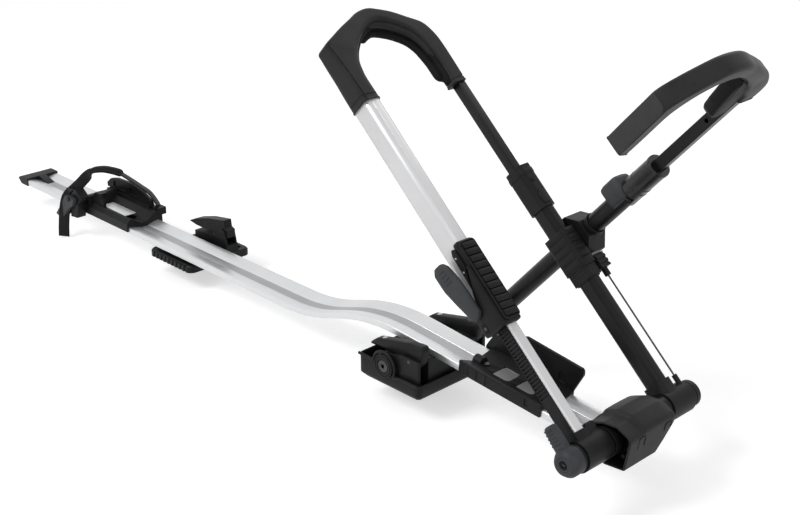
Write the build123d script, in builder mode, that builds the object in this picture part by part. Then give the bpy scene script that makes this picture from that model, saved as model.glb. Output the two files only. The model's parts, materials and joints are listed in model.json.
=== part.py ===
from build123d import *
from math import cos, radians, sin, tan
import os

# A roof mounted bike carrier, millimetres and degrees.
# Origin: centre of the front foot's underside, where it seats on the front crossbar.
# +X runs forward to the hinge hub, +Y to the far side, +Z up.

# Tray: one aluminium extrusion with a shallow valley and a central groove
tray_width = 70.6
tray_side_height = 12.0
tray_valley_drop = 6.0
tray_wall = 2.2
groove_mouth = 17.0
groove_inside = 21.0
groove_lip = 1.4
tray_foot_lip = 8.0
tray_rear_end = -1162.0
tray_front_end = 374.0
tray_rear_height = 31.5
tray_ramp_start = -250.0
tray_crest_x = -93.0
tray_crest_z = 83.2
tray_front_pitch = 4.75
tray_rear_bend = 330.0
tray_crest_bend = 370.0

# Hinge hub and the leg frame of the hoop
hub_x = 398.0
hub_z = 63.0
hub_radius = 20.0
hub_bore = 15.5
hub_near_end = -118.0
hub_far_end = 131.0
leg_tilt = 42.6
near_leg_y = -95.5
far_leg_y = 94.9

# Overall size of the hoop, and where its casing ends on each leg
hoop_half_width = 113.0
hoop_height = 722.0
casing_near_low_share = 0.7922
casing_far_low_share = 0.7881
casing_near_low = hoop_height * casing_near_low_share
casing_far_low = hoop_height * casing_far_low_share

# Running clearances and overruns shared by many pieces
slide_gap = 0.4
fit_gap = 0.05
face_gap = 0.5
cut_over = 5.0

tray_half = tray_width / 2
groove_half = groove_mouth / 2
leg_dir = Vector(-cos(radians(leg_tilt)), 0, sin(radians(leg_tilt)))
leg_normal = Vector(sin(radians(leg_tilt)), 0, cos(radians(leg_tilt)))
hub_point = Vector(hub_x, 0, hub_z)
leg_axis = Axis(hub_point, leg_dir)
normal_axis = Axis(hub_point, leg_normal)


def save(builder, name):
    """Label a finished piece and write it as its own file"""
    builder.part.label = name
    export_step(builder.part, f"parts/{name}.step")


def leg_section(distance, side, lift=0):
    """Plane square to the legs: its x runs across the carrier, its z up the leg"""
    origin = hub_point + leg_dir * distance + Vector(0, side, 0) + leg_normal * lift
    return Plane(origin=origin, x_dir=(0, 1, 0), z_dir=leg_dir)


def hoop_face(lift):
    """Plane of the hoop at a height over its middle: x across, y up the legs"""
    return Plane(origin=hub_point + leg_normal * lift, x_dir=(0, 1, 0), z_dir=leg_normal)


def side_plane(y):
    """Upright plane facing the near side at a place across the carrier: x forward, y up"""
    return Plane(origin=(0, y, 0), x_dir=(1, 0, 0), z_dir=(0, -1, 0))


def cross_plane(x):
    """Upright plane square to the tray: its x runs across the carrier, its y up"""
    return Plane(origin=(x, 0, 0), x_dir=(0, 1, 0), z_dir=(1, 0, 0))


def scaled(shares, origin, size):
    """Points of an outline from its shares of a width and a height"""
    return [(origin[0] + size[0] * across, origin[1] + size[1] * up) for across, up in shares]


os.makedirs("parts", exist_ok=True)

# Tray extrusion, swept along its side line
with BuildLine(Plane.XZ) as tray_line:
    FilletPolyline(
        (tray_rear_end, tray_rear_height),
        (tray_ramp_start, tray_rear_height),
        (tray_crest_x, tray_crest_z),
        (tray_front_end, tray_crest_z - (tray_front_end - tray_crest_x) * tan(radians(tray_front_pitch))),
        radius=[tray_rear_bend, tray_crest_bend],
    )


def tray_outline(gap, closed_below):
    """Half outline of the extrusion from its middle line outwards, grown by a gap all round"""
    inside = groove_inside / 2
    floor = tray_wall - tray_side_height
    valley = -tray_valley_drop
    slope = tray_valley_drop / (tray_half - groove_half)
    if closed_below:
        return [
            (0, -tray_side_height - gap), (tray_half + gap, -tray_side_height - gap), (tray_half + gap, gap),
            (groove_half - gap, valley + gap), (groove_half - gap, valley - groove_lip - gap),
            (inside - gap, valley - groove_lip - gap), (inside - gap, floor + gap), (0, floor + gap),
        ]
    web = inside + tray_wall
    under_web = valley - tray_wall + (web - groove_half) * slope
    skin = tray_half - tray_wall
    under_skin = -tray_wall - tray_wall * slope
    lip = tray_half - tray_foot_lip
    bottom = -tray_side_height
    return [
        (0, bottom), (web, bottom), (web, under_web), (skin, under_skin), (skin, bottom + tray_wall),
        (lip, bottom + tray_wall), (lip, bottom), (tray_half, bottom), (tray_half, 0), (groove_half, valley),
        (groove_half, valley - groove_lip), (inside, valley - groove_lip), (inside, floor), (0, floor),
    ]


with BuildPart() as tray_extrusion:
    with BuildSketch(Plane(origin=tray_line.line @ 0, x_dir=(0, 1, 0), z_dir=(1, 0, 0))):
        with BuildLine():
            Polyline(*tray_outline(0, False), close=True)
        make_face()
        mirror(about=Plane.YZ)
    sweep(path=tray_line.line)
save(tray_extrusion, "tray_extrusion")

front_slope = tan(radians(tray_front_pitch))
front_dir = Vector(cos(radians(tray_front_pitch)), 0, -sin(radians(tray_front_pitch)))
front_up = Vector(sin(radians(tray_front_pitch)), 0, cos(radians(tray_front_pitch)))


def tray_top(x):
    """Height of the tray's outer top edge on its straight front run"""
    return tray_crest_z - (x - tray_crest_x) * front_slope


def front_section(x):
    """Plane square to the tray's front run: x across the carrier, y up, origin on the top edge line"""
    return Plane(origin=(x, 0, tray_top(x)), x_dir=(0, 1, 0), z_dir=front_dir)


# Rear end cap: a wedge behind the tray with a tongue that slopes down into the groove
cap_overhang = 30.0
cap_sleeve = 6.0
cap_tongue = 36.0
cap_rear = tray_rear_end - cap_overhang
cap_front = tray_rear_end + cap_sleeve
cap_tongue_front = cap_front + cap_tongue
cap_tongue_half = groove_half - slide_gap
cap_tongue_floor = tray_rear_height - tray_side_height + tray_wall + slide_gap
cap_height = 3.0
cap_nose = 10.0
cap_skirt = 1.5
cap_bottom = tray_rear_height - tray_side_height - cap_skirt

with BuildPart() as rear_end_cap:
    with BuildSketch(side_plane(tray_half + cap_skirt)):
        Polygon(
            (cap_rear, cap_bottom + cap_nose), (cap_rear + cap_nose, cap_bottom), (cap_front, cap_bottom),
            (cap_front, tray_rear_height + cap_height), (cap_rear + cap_nose, tray_rear_height + cap_height),
            (cap_rear, tray_rear_height - cap_skirt), align=None,
        )
    extrude(amount=tray_width + 2 * cap_skirt)
    with BuildSketch(side_plane(cap_tongue_half)):
        Polygon(
            (cap_rear + cap_nose, cap_tongue_floor), (cap_tongue_front, cap_tongue_floor),
            (cap_tongue_front, tray_rear_height - tray_valley_drop),
            (cap_front, tray_rear_height + cap_height),
            (cap_rear + cap_nose, tray_rear_height + cap_height), align=None,
        )
    extrude(amount=2 * cap_tongue_half)
    add(tray_extrusion.part, mode=Mode.SUBTRACT)
    chamfer(rear_end_cap.edges().filter_by(Axis.Y).sort_by(Axis.X)[0], cap_skirt)
save(rear_end_cap, "rear_end_cap")

# Front foot: a tub on a rubber pad, a saddle that carries the tray, and a bolt in a round boss
foot_rear = -64.0
foot_front = 70.0
foot_half = 81.0
pad_height = 3.0
pad_inset = 6.0
tub_rear_height = 40.0
tub_front_height = 27.0
tub_wall = 3.5
tub_floor = 4.0
boss_x = -6.0
boss_z = 36.0
boss_radius = 20.0
boss_proud = 3.0
boss_depth = 14.0
foot_bolt_radius = 10.0
foot_bolt_head = 5.0
foot_bolt_shank = 4.0
foot_bolt_length = 26.0
foot_socket = 8.0
saddle_rear = -34.0
saddle_front = 62.0
foot_margin = 6.0
cheek_wall = 6.0
lever_width = 16.0
lever_pin_x = 42.0
lever_pin_z = 58.0
lever_pin_radius = 3.0
saddle_half = foot_half - foot_margin - 2 * cheek_wall - lever_width - 2 * face_gap

with BuildPart() as foot_rubber_pad:
    with BuildSketch(Plane.XY):
        with Locations(((foot_rear + foot_front) / 2, 0)):
            RectangleRounded(foot_front - foot_rear - 2 * pad_inset, 2 * (foot_half - pad_inset), pad_inset)
    extrude(amount=pad_height)
save(foot_rubber_pad, "foot_rubber_pad")

with BuildPart() as foot_base:
    with BuildSketch(side_plane(foot_half)):
        Polygon(
            (foot_rear, pad_height), (foot_front, pad_height), (foot_front, tub_front_height),
            (foot_rear, tub_rear_height), align=None,
        )
    extrude(amount=2 * foot_half)
    chamfer(foot_base.edges().filter_by(Axis.Z), tub_wall)
    with BuildSketch(Plane.XY.offset(pad_height + tub_floor)):
        with Locations(((foot_rear + foot_front) / 2, 0)):
            Rectangle(foot_front - foot_rear - 2 * tub_wall, 2 * (foot_half - tub_wall))
    extrude(amount=tub_rear_height, mode=Mode.SUBTRACT)
    with BuildSketch(side_plane(-foot_half + boss_depth)):
        with Locations((boss_x, boss_z)):
            Circle(boss_radius)
    extrude(amount=boss_depth + boss_proud)
    with BuildSketch(side_plane(-foot_half - boss_proud)):
        with Locations((boss_x, boss_z)):
            Circle(foot_bolt_radius + face_gap)
    extrude(amount=-foot_bolt_head - face_gap, mode=Mode.SUBTRACT)
    with BuildSketch(side_plane(-foot_half - boss_proud)):
        with Locations((boss_x, boss_z)):
            Circle(foot_bolt_shank + fit_gap)
    extrude(amount=-boss_depth - boss_proud - cut_over, mode=Mode.SUBTRACT)
save(foot_base, "foot_base")

with BuildPart() as foot_bolt:
    with BuildSketch(side_plane(-foot_half - boss_proud + face_gap)):
        with Locations((boss_x, boss_z)):
            Circle(foot_bolt_radius)
    extrude(amount=-foot_bolt_head)
    with BuildSketch(side_plane(-foot_half - boss_proud + foot_bolt_head + face_gap)):
        with Locations((boss_x, boss_z)):
            Circle(foot_bolt_shank)
    extrude(amount=-foot_bolt_length + foot_bolt_head)
    with BuildSketch(side_plane(-foot_half - boss_proud + face_gap)):
        with Locations((boss_x, boss_z)):
            RegularPolygon(foot_socket / 2, 6)
    extrude(amount=-foot_bolt_head + face_gap, mode=Mode.SUBTRACT)
save(foot_bolt, "foot_bolt")

cheek_inner = saddle_half + cheek_wall + face_gap
lever_middle = cheek_inner + lever_width / 2
cheek_outer = cheek_inner + lever_width + face_gap
cheek_reach = 14.0
saddle_rise = pad_height + tub_floor
tray_bottom_drop = tray_side_height / cos(radians(tray_front_pitch))

with BuildPart() as foot_saddle:
    with BuildSketch(side_plane(saddle_half)):
        Polygon(
            (saddle_rear, saddle_rise), (saddle_front, saddle_rise),
            (saddle_front, tray_top(saddle_front) - tray_bottom_drop), (0, tray_top(0) - tray_bottom_drop),
            (saddle_rear, tray_top(0) - tray_bottom_drop - cheek_wall), align=None,
        )
    extrude(amount=2 * saddle_half)
    for side in (-1, 1):
        for wall_start in (saddle_half, cheek_outer):
            with BuildSketch(side_plane(side * wall_start)):
                Polygon(
                    (saddle_rear, saddle_rise), (saddle_front, saddle_rise),
                    (saddle_front, lever_pin_z + cheek_wall), (lever_pin_x - cheek_reach, lever_pin_z + cheek_wall),
                    (saddle_rear, tub_rear_height + cheek_wall),
                    align=None,
                )
            extrude(amount=-side * cheek_wall)
        with BuildSketch(Plane.XY.offset(saddle_rise)):
            with Locations(((saddle_rear + saddle_front) / 2, side * lever_middle)):
                Rectangle(saddle_front - saddle_rear, lever_width + 2 * face_gap)
        extrude(amount=cheek_wall)
    with BuildSketch(side_plane(tray_half + face_gap)):
        Polygon(
            (saddle_rear - cut_over, tray_top(0) - tray_bottom_drop), (0, tray_top(0) - tray_bottom_drop),
            (saddle_front + cut_over, tray_top(saddle_front + cut_over) - tray_bottom_drop),
            (saddle_front + cut_over, tray_top(0) + cut_over), (saddle_rear - cut_over, tray_top(0) + cut_over),
            align=None,
        )
    extrude(amount=2 * (tray_half + face_gap), mode=Mode.SUBTRACT)
    with BuildSketch(side_plane(-cheek_outer - cheek_wall - cut_over)):
        with Locations((lever_pin_x, lever_pin_z)):
            Circle(lever_pin_radius)
    extrude(amount=-2 * (cheek_outer + cheek_wall + cut_over), mode=Mode.SUBTRACT)
    with BuildSketch(side_plane(-cheek_inner)):
        with Locations((boss_x, boss_z)):
            Circle(boss_radius + face_gap)
    extrude(amount=foot_half, mode=Mode.SUBTRACT)
save(foot_saddle, "foot_saddle")

with BuildPart() as clamp_lever_pins:
    for side in (-1, 1):
        with BuildSketch(side_plane(side * (saddle_half + face_gap))):
            with Locations((lever_pin_x, lever_pin_z)):
                Circle(lever_pin_radius)
        extrude(amount=-side * (cheek_outer + cheek_wall - saddle_half - face_gap))
    add(tray_extrusion.part, mode=Mode.SUBTRACT)
save(clamp_lever_pins, "clamp_lever_pins")

# The hooked clamp lever, drawn in shares from its pin: tip to the rear, cam end to the front
lever_length = 120.0
lever_height = 40.0
lever_round = 1.5
lever_shares = [
    (-0.8, -0.075), (-0.65, 0.275), (-0.067, 0.675), (0.167, 0.725), (0.2, 0.6), (0.175, 0.05),
    (0.108, -0.275), (-0.117, -0.275), (-0.333, 0.0), (-0.633, -0.075),
]


def clamp_lever(middle):
    """Clamp lever on one side of the front foot: the outline round its pin, extruded across"""
    with BuildPart() as lever:
        with BuildSketch(side_plane(middle + lever_width / 2)):
            lever_points = scaled(lever_shares, (lever_pin_x, lever_pin_z), (lever_length, lever_height))
            Polygon(*lever_points, align=None)
        extrude(amount=lever_width)
        fillet(lever.edges().filter_by(Axis.Y), lever_round)
        with BuildSketch(side_plane(middle + lever_width)):
            with Locations((lever_pin_x, lever_pin_z)):
                Circle(lever_pin_radius + fit_gap)
        extrude(amount=2 * lever_width, mode=Mode.SUBTRACT)
    return lever


near_clamp_lever = clamp_lever(-lever_middle)
save(near_clamp_lever, "near_clamp_lever")
far_clamp_lever = clamp_lever(lever_middle)
save(far_clamp_lever, "far_clamp_lever")

# Front wheel cradle: a floor that follows the tray's valley, a near lip and a tall far wing
cradle_rear = 112.0
cradle_front = 272.0
cradle_floor = 3.0
cradle_lip_wall = 3.0
cradle_lip_rise = 9.0
cradle_lip_round = 2.0
window_length = 30.0
window_gap = 16.0
window_rear_share = 0.28
window_half = 17.0
stop_radius = 9.0
stop_length = 16.0
rib_count = 3
rib_proud = 1.2
rib_width = 5.0
rib_first_share = 0.1
rib_step_share = 0.11
lip_notch_share = 0.83
lip_notch_width = 7.0
lip_notch_depth = 1.6
cradle_length = cradle_front - cradle_rear
valley_floor = cradle_floor - tray_valley_drop


def along_front(x, lift):
    """Point over the tray's front run at a place along it and a height square to it"""
    return Vector(x, 0, tray_top(x)) + front_up * lift


def cradle_top_plane(lift):
    """Plane that lies on the tray's front run: x forward, y across"""
    return Plane(origin=along_front(cradle_rear, lift), x_dir=front_dir, z_dir=front_up)


with BuildPart() as front_cradle:
    with BuildSketch(front_section(cradle_rear)):
        with BuildLine():
            Polyline(
                (tray_half, cradle_floor), (groove_half, valley_floor), (-groove_half, valley_floor),
                (-tray_half, cradle_lip_rise), (-tray_half - cradle_lip_wall, cradle_lip_rise),
                (-tray_half - cradle_lip_wall, -tray_side_height), (-tray_half, -tray_side_height),
                (-tray_half, 0),
                (-groove_half, -tray_valley_drop), (groove_half, -tray_valley_drop), (tray_half, 0),
                (tray_half, -tray_side_height), (tray_half + cradle_lip_wall, -tray_side_height),
                (tray_half + cradle_lip_wall, cradle_floor), close=True,
            )
        make_face()
    extrude(amount=cradle_length)
    with BuildSketch(cradle_top_plane(cradle_floor)):
        for turn in (0, 1):
            window_start = cradle_length * window_rear_share + turn * (window_length + window_gap)
            with Locations((window_start + window_length / 2, 0)):
                RectangleRounded(window_length, 2 * window_half, cradle_floor)
    extrude(amount=-2 * tray_side_height, mode=Mode.SUBTRACT)
    with BuildSketch(front_section(cradle_rear)):
        with Locations((0, valley_floor)):
            Circle(stop_radius)
        with Locations((0, valley_floor - stop_radius)):
            Rectangle(2 * stop_radius, 2 * stop_radius, mode=Mode.SUBTRACT)
    extrude(amount=stop_length)
    with BuildSketch(side_plane(-tray_half - cradle_lip_wall)):
        for place in range(rib_count):
            x = cradle_rear + cradle_length * (rib_first_share + place * rib_step_share)
            rib_middle = tray_top(x) - (tray_side_height - cradle_lip_rise) / 2
            with Locations(Location((x, rib_middle), -tray_front_pitch)):
                Rectangle(rib_width, tray_side_height + cradle_lip_rise - 2 * cradle_lip_round)
    extrude(amount=rib_proud)
    with BuildSketch(side_plane(-tray_half - cradle_lip_wall)):
        x = cradle_rear + cradle_length * lip_notch_share
        with Locations(Location((x, tray_top(x)), -tray_front_pitch)):
            Rectangle(lip_notch_width, tray_side_height, mode=Mode.ADD)
    extrude(amount=-lip_notch_depth, mode=Mode.SUBTRACT)
save(front_cradle, "front_cradle")

wing_wall = 4.5
wing_peak_z = 109.8
wing_peak_x = 178.0
wing_front_x = 286.0
wing_front_z = 96.0
wing_rear_x = 97.0
wing_round = 10.0
wing_nose_x = 262.0
wing_inner = tray_half + cradle_lip_wall
wing_pocket = 2.0
wing_pocket_x = 248.0
wing_pocket_size = 14.0

with BuildPart() as cradle_wing:
    with BuildSketch(side_plane(wing_inner + wing_wall)):
        with BuildLine():
            Polyline(
                (wing_rear_x, tray_top(wing_rear_x) - tray_side_height), (wing_rear_x, tray_top(wing_rear_x)),
                (cradle_rear, wing_peak_z - 2 * wing_round), (wing_peak_x, wing_peak_z),
                (wing_front_x, wing_front_z), (wing_front_x, wing_front_z - wing_round),
                (wing_nose_x, tray_top(wing_nose_x) - tray_side_height), close=True,
            )
        make_face()
        fillet(vertices().sort_by(Axis.Z)[-5:], wing_round / 2)
    extrude(amount=wing_wall)
    with BuildSketch(side_plane(wing_inner)):
        pocket_middle = tray_top(wing_pocket_x) + wing_pocket_size
        with Locations(Location((wing_pocket_x, pocket_middle), -tray_front_pitch)):
            RectangleRounded(wing_pocket_size, wing_pocket_size, wing_pocket)
    extrude(amount=-wing_pocket, mode=Mode.SUBTRACT)
save(cradle_wing, "cradle_wing")

# Countersunk screws that hold the cradle to the groove floor
cradle_screw_shares = (0.14, 0.93)
screw_head_radius = 4.5
screw_head = 2.4

with BuildPart() as cradle_screws:
    for share in cradle_screw_shares:
        place = along_front(cradle_rear + cradle_length * share, valley_floor)
        with BuildSketch(Plane(origin=place, x_dir=front_dir, z_dir=front_up)):
            Circle(screw_head_radius)
        extrude(amount=screw_head)
save(cradle_screws, "cradle_screws")

# Hinge housing: the block that takes the tray's end and carries the hub in two bushes
housing_near = -56.0
housing_far = 45.0
housing_rear = 346.0
housing_bottom = 33.0
barrel_radius = 30.0
bush_wall = 2.5
bush_length = 14.0
hub_running = 0.06
housing_width = housing_far - housing_near

with BuildPart() as hinge_housing:
    with BuildSketch(side_plane(housing_far)):
        with Locations((hub_x, hub_z)):
            Circle(barrel_radius)
        Polygon(
            (housing_rear, tray_top(housing_rear) - tray_side_height - cradle_floor),
            (hub_x, housing_bottom), (hub_x, hub_z + barrel_radius),
            (hub_x - barrel_radius, hub_z + hub_radius),
            (housing_rear, tray_top(housing_rear) + cradle_lip_rise), align=None,
        )
    extrude(amount=housing_width)
    with BuildSketch(side_plane(housing_far + cut_over)):
        with Locations((hub_x, hub_z)):
            Circle(hub_radius + bush_wall)
    extrude(amount=housing_width + 2 * cut_over, mode=Mode.SUBTRACT)
    add(tray_extrusion.part, mode=Mode.SUBTRACT)
save(hinge_housing, "hinge_housing")

with BuildPart() as hub_bushes:
    for start in (housing_far, housing_near + bush_length):
        with BuildSketch(side_plane(start)):
            with Locations((hub_x, hub_z)):
                Circle(hub_radius + bush_wall)
                Circle(hub_radius + hub_running, mode=Mode.SUBTRACT)
        extrude(amount=bush_length)
save(hub_bushes, "hub_bushes")

# Hinge cover: a shell over the front and top of the housing, with two clip slots and a bare name place
cover_front_x = 443.6
cover_front_z = 89.3
cover_low_x = 435.0
cover_top = 103.0
cover_rear_x = 372.0
cover_wall = 3.5
cover_cut_y = 14.0
cover_cut_z = 73.0
clip_slot_length = 16.0
clip_slot_width = 5.0
clip_slot_shares = (0.27, 0.88)
clip_slot_depth = 1.6
cover_round = 4.0

with BuildPart() as hinge_cover:
    with BuildSketch(side_plane(housing_far)) as cover_side:
        with BuildLine():
            Polyline(
                (hub_x, housing_bottom - cover_wall), (cover_low_x, housing_bottom),
                (cover_front_x, cover_front_z), (hub_x + hub_radius, cover_top),
                (hub_x - cover_wall, cover_top),
                (cover_rear_x, hub_z + barrel_radius), (cover_rear_x, hub_z + hub_radius), (hub_x, hub_z),
                close=True,
            )
        make_face()
        fillet(vertices().group_by(Axis.X)[-1] + vertices().group_by(Axis.Z)[-1], cover_round)
    extrude(amount=housing_width)
    with BuildSketch(side_plane(housing_far + cut_over)):
        with Locations((hub_x, hub_z)):
            Circle(barrel_radius)
        Polygon(
            (housing_rear, housing_bottom), (hub_x, housing_bottom), (hub_x, hub_z + barrel_radius),
            (hub_x - barrel_radius, hub_z + hub_radius), (housing_rear, hub_z + hub_radius / 2), align=None,
        )
    extrude(amount=housing_width + 2 * cut_over, mode=Mode.SUBTRACT)
    with BuildSketch(Plane.YZ.offset(hub_x)):
        Polygon(
            (cover_cut_y, housing_bottom - 2 * cover_wall),
            (housing_far + cut_over, housing_bottom - 2 * cover_wall), (housing_far + cut_over, cover_cut_z),
            (housing_far, cover_cut_z), align=None,
        )
    extrude(amount=cover_front_x - hub_x + cut_over, mode=Mode.SUBTRACT)
    for share in clip_slot_shares:
        with BuildSketch(cross_plane((cover_front_x + cover_low_x) / 2 + cover_wall)):
            with Locations((housing_near + housing_width * share, (cover_front_z + hub_z) / 2)):
                RectangleRounded(clip_slot_width, clip_slot_length, clip_slot_depth)
        extrude(amount=-cover_wall - clip_slot_depth, mode=Mode.SUBTRACT)
save(hinge_cover, "hinge_cover")

# Hub tube: turns in the bushes and carries both legs of the hoop
with BuildPart() as hub_tube:
    with BuildSketch(side_plane(hub_far_end)):
        with Locations((hub_x, hub_z)):
            Circle(hub_radius)
            Circle(hub_bore, mode=Mode.SUBTRACT)
    extrude(amount=hub_far_end - hub_near_end)
save(hub_tube, "hub_tube")

# Far hub cap: a plug with a seam ring and a domed face
far_cap_length = 14.0
far_cap_seam = 2.0
far_cap_seam_depth = 0.8
far_cap_plug = 10.0
far_cap_round = 2.5

with BuildPart() as far_hub_cap:
    with BuildSketch(side_plane(hub_far_end)):
        with Locations((hub_x, hub_z)):
            Circle(hub_radius)
    extrude(amount=-far_cap_length)
    fillet(far_hub_cap.edges().sort_by(Axis.Y)[-1], far_cap_round)
    with BuildSketch(side_plane(hub_far_end + far_cap_seam)):
        with Locations((hub_x, hub_z)):
            Circle(hub_radius)
            Circle(hub_radius - far_cap_seam_depth, mode=Mode.SUBTRACT)
    extrude(amount=-far_cap_seam, mode=Mode.SUBTRACT)
    with BuildSketch(side_plane(hub_far_end)):
        with Locations((hub_x, hub_z)):
            Circle(hub_bore)
    extrude(amount=far_cap_plug)
save(far_hub_cap, "far_hub_cap")

# Lock lever: a ring cap on the hub's near end with a ribbed finger lever, and the lock in its face
cap_gap = 0.3
lock_cap_length = 23.0
lock_cap_radius = 20.5
lock_spigot = 12.0
lock_lever_reach = 54.0
lock_lever_width = 20.0
lock_lever_tip_width = 16.0
lock_lever_thick = 14.0
lock_lever_angle = 45.0
lock_rib_count = 5
lock_rib_depth = 1.2
lock_rib_width = 2.0
lock_rib_start_share = 0.55
lock_cylinder_radius = 10.0
lock_cylinder_depth = 14.0
lock_recess = 1.0
keyhole_radius = 2.6
keyhole_depth = 6.0
lock_back = hub_near_end - cap_gap
lock_face = lock_back - lock_cap_length
lock_lever_dir = Vector(-cos(radians(lock_lever_angle)), 0, sin(radians(lock_lever_angle)))

with BuildPart() as lock_lever:
    with BuildSketch(side_plane(lock_back)):
        with Locations((hub_x, hub_z)):
            Circle(lock_cap_radius)
    extrude(amount=lock_cap_length)
    lever_plane = Plane(origin=(hub_x, lock_face + lock_lever_thick / 2 + face_gap, hub_z),
                        x_dir=(0, 1, 0), z_dir=lock_lever_dir)
    with BuildSketch(lever_plane.offset(hub_radius / 2)):
        RectangleRounded(lock_lever_thick, lock_lever_width, lever_round)
    with BuildSketch(lever_plane.offset(lock_lever_reach)):
        RectangleRounded(lock_lever_thick - lever_round, lock_lever_tip_width, lever_round)
    loft()
    for turn in range(lock_rib_count):
        rib_share = lock_rib_start_share + turn * (1 - lock_rib_start_share) / lock_rib_count
        reach = lock_lever_reach * rib_share
        with BuildSketch(lever_plane.offset(reach)):
            with Locations((-lock_lever_thick / 2, 0)):
                Rectangle(2 * lock_rib_depth, lock_lever_width)
        extrude(amount=lock_rib_width, mode=Mode.SUBTRACT)
    with BuildSketch(side_plane(lock_face)):
        with Locations((hub_x, hub_z)):
            Circle(lock_cylinder_radius + fit_gap)
    extrude(amount=-lock_cylinder_depth, mode=Mode.SUBTRACT)
    with BuildSketch(side_plane(lock_back)):
        with Locations((hub_x, hub_z)):
            Circle(hub_bore - fit_gap)
    extrude(amount=-lock_spigot)
    fillet(lock_lever.edges().filter_by(GeomType.CIRCLE).sort_by(Axis.Y)[1], lever_round)
save(lock_lever, "lock_lever")

with BuildPart() as lock_cylinder:
    with BuildSketch(side_plane(lock_face + lock_recess)):
        with Locations((hub_x, hub_z)):
            Circle(lock_cylinder_radius)
    extrude(amount=-lock_cylinder_depth + lock_recess + cap_gap)
    with BuildSketch(side_plane(lock_face + lock_recess)):
        with Locations((hub_x, hub_z)):
            Circle(keyhole_radius)
    extrude(amount=-keyhole_depth, mode=Mode.SUBTRACT)
save(lock_cylinder, "lock_cylinder")

# Near leg: a rectangular rail from the hub, inside a larger oval tube
rail_y = -93.0
rail_width = 18.5
rail_depth = 26.8
rail_wall = 2.0
rail_round = 3.0
rail_start = 20.5
rail_end = 480.0
rack_base = 1.2
rack_tooth = 1.4
rack_pitch = 5.2
rack_tooth_width = 2.6
rack_low_edge = -2.9
rack_start = 26.0
rack_first_tooth = 88.0
rack_end = 400.0
rack_foot_low_edge = -7.0
rail_near_face = rail_y - rail_width / 2
rail_top = rail_depth / 2

with BuildPart() as near_rail:
    with BuildSketch(leg_section(rail_start, rail_y)):
        RectangleRounded(rail_width, rail_depth, rail_round)
        RectangleRounded(rail_width - 2 * rail_wall, rail_depth - 2 * rail_wall, rail_round - rail_wall,
                         mode=Mode.SUBTRACT)
    extrude(amount=rail_end - rail_start)
save(near_rail, "near_rail")

rack_tooth_count = int((rack_end - rack_first_tooth) / rack_pitch)
rack_top_edge = rail_top - rail_round
rack_middle = (rack_low_edge + rack_top_edge) / 2


def rail_face_plane(proud):
    """Plane on the rail's near face, facing inwards: x up the leg, y along its depth"""
    origin = hub_point + Vector(0, rail_near_face - proud, 0)
    return Plane(origin=origin, x_dir=leg_dir, z_dir=(0, 1, 0))


with BuildPart() as rack_strip:
    with BuildSketch(rail_face_plane(0)):
        with Locations(((rack_start + rack_end) / 2, rack_middle)):
            Rectangle(rack_end - rack_start, rack_top_edge - rack_low_edge)
        with Locations(((rack_start + rack_first_tooth) / 2, (rack_foot_low_edge + rack_top_edge) / 2)):
            Rectangle(rack_first_tooth - rack_start, rack_top_edge - rack_foot_low_edge)
    extrude(amount=-rack_base)
    with BuildSketch(rail_face_plane(rack_base)):
        for turn in range(rack_tooth_count):
            with Locations((rack_first_tooth + turn * rack_pitch + rack_tooth_width / 2, rack_middle)):
                Rectangle(rack_tooth_width, rack_top_edge - rack_low_edge)
        with Locations(((rack_start + rack_first_tooth) / 2, (rack_foot_low_edge + rack_top_edge) / 2)):
            Rectangle(rack_first_tooth - rack_start - rack_pitch, rack_top_edge - rack_foot_low_edge)
    extrude(amount=-rack_tooth)
save(rack_strip, "rack_strip")

# Near leg socket: a collar on the hub with the rail's pocket and a rounded lug beside the housing
socket_radius = 22.5
socket_near = -112.0
socket_far = -60.0
socket_wall = 3.0
socket_height = 29.0
lug_width = 17.0
lug_height = 34.0
lug_depth = 20.0

with BuildPart() as near_leg_socket:
    with BuildSketch(side_plane(socket_far)):
        with Locations((hub_x, hub_z)):
            Circle(socket_radius)
    extrude(amount=socket_far - socket_near)
    with BuildSketch(leg_section(0, rail_y - rack_base)):
        RectangleRounded(rail_width + 2 * socket_wall + 2 * rack_base, rail_depth + 2 * socket_wall,
                         rail_round)
    extrude(amount=socket_height)
    with BuildSketch(leg_section(0, socket_far - lug_width / 2)):
        Rectangle(lug_width, lug_depth)
    extrude(amount=lug_height)
    fillet(near_leg_socket.faces().sort_by(leg_axis)[-1].edges(), rail_round)
    with BuildSketch(side_plane(socket_far + cut_over)):
        with Locations((hub_x, hub_z)):
            Circle(hub_radius)
    extrude(amount=socket_far - socket_near + 2 * cut_over, mode=Mode.SUBTRACT)
    with BuildSketch(leg_section(rail_start, rail_y)):
        RectangleRounded(rail_width, rail_depth, rail_round)
        foot_middle = (rack_foot_low_edge + rack_top_edge) / 2
        with Locations((-(rail_width + rack_base + rack_tooth) / 2, -foot_middle)):
            Rectangle(rack_base + rack_tooth, rack_top_edge - rack_foot_low_edge)
    extrude(amount=socket_height, mode=Mode.SUBTRACT)
save(near_leg_socket, "near_leg_socket")

# Near upper tube: satin oval aluminium that slides over the rail
upper_width = 30.0
upper_depth = 40.0
upper_round = 12.0
upper_wall = 2.3
upper_start = 292.0
upper_engage = 18.0
upper_end = casing_near_low + upper_engage

with BuildPart() as near_upper_tube:
    with BuildSketch(leg_section(upper_start, near_leg_y)):
        RectangleRounded(upper_width, upper_depth, upper_round)
        RectangleRounded(upper_width - 2 * upper_wall, upper_depth - 2 * upper_wall, upper_round - upper_wall,
                         mode=Mode.SUBTRACT)
    extrude(amount=upper_end - upper_start)
save(near_upper_tube, "near_upper_tube")

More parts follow.
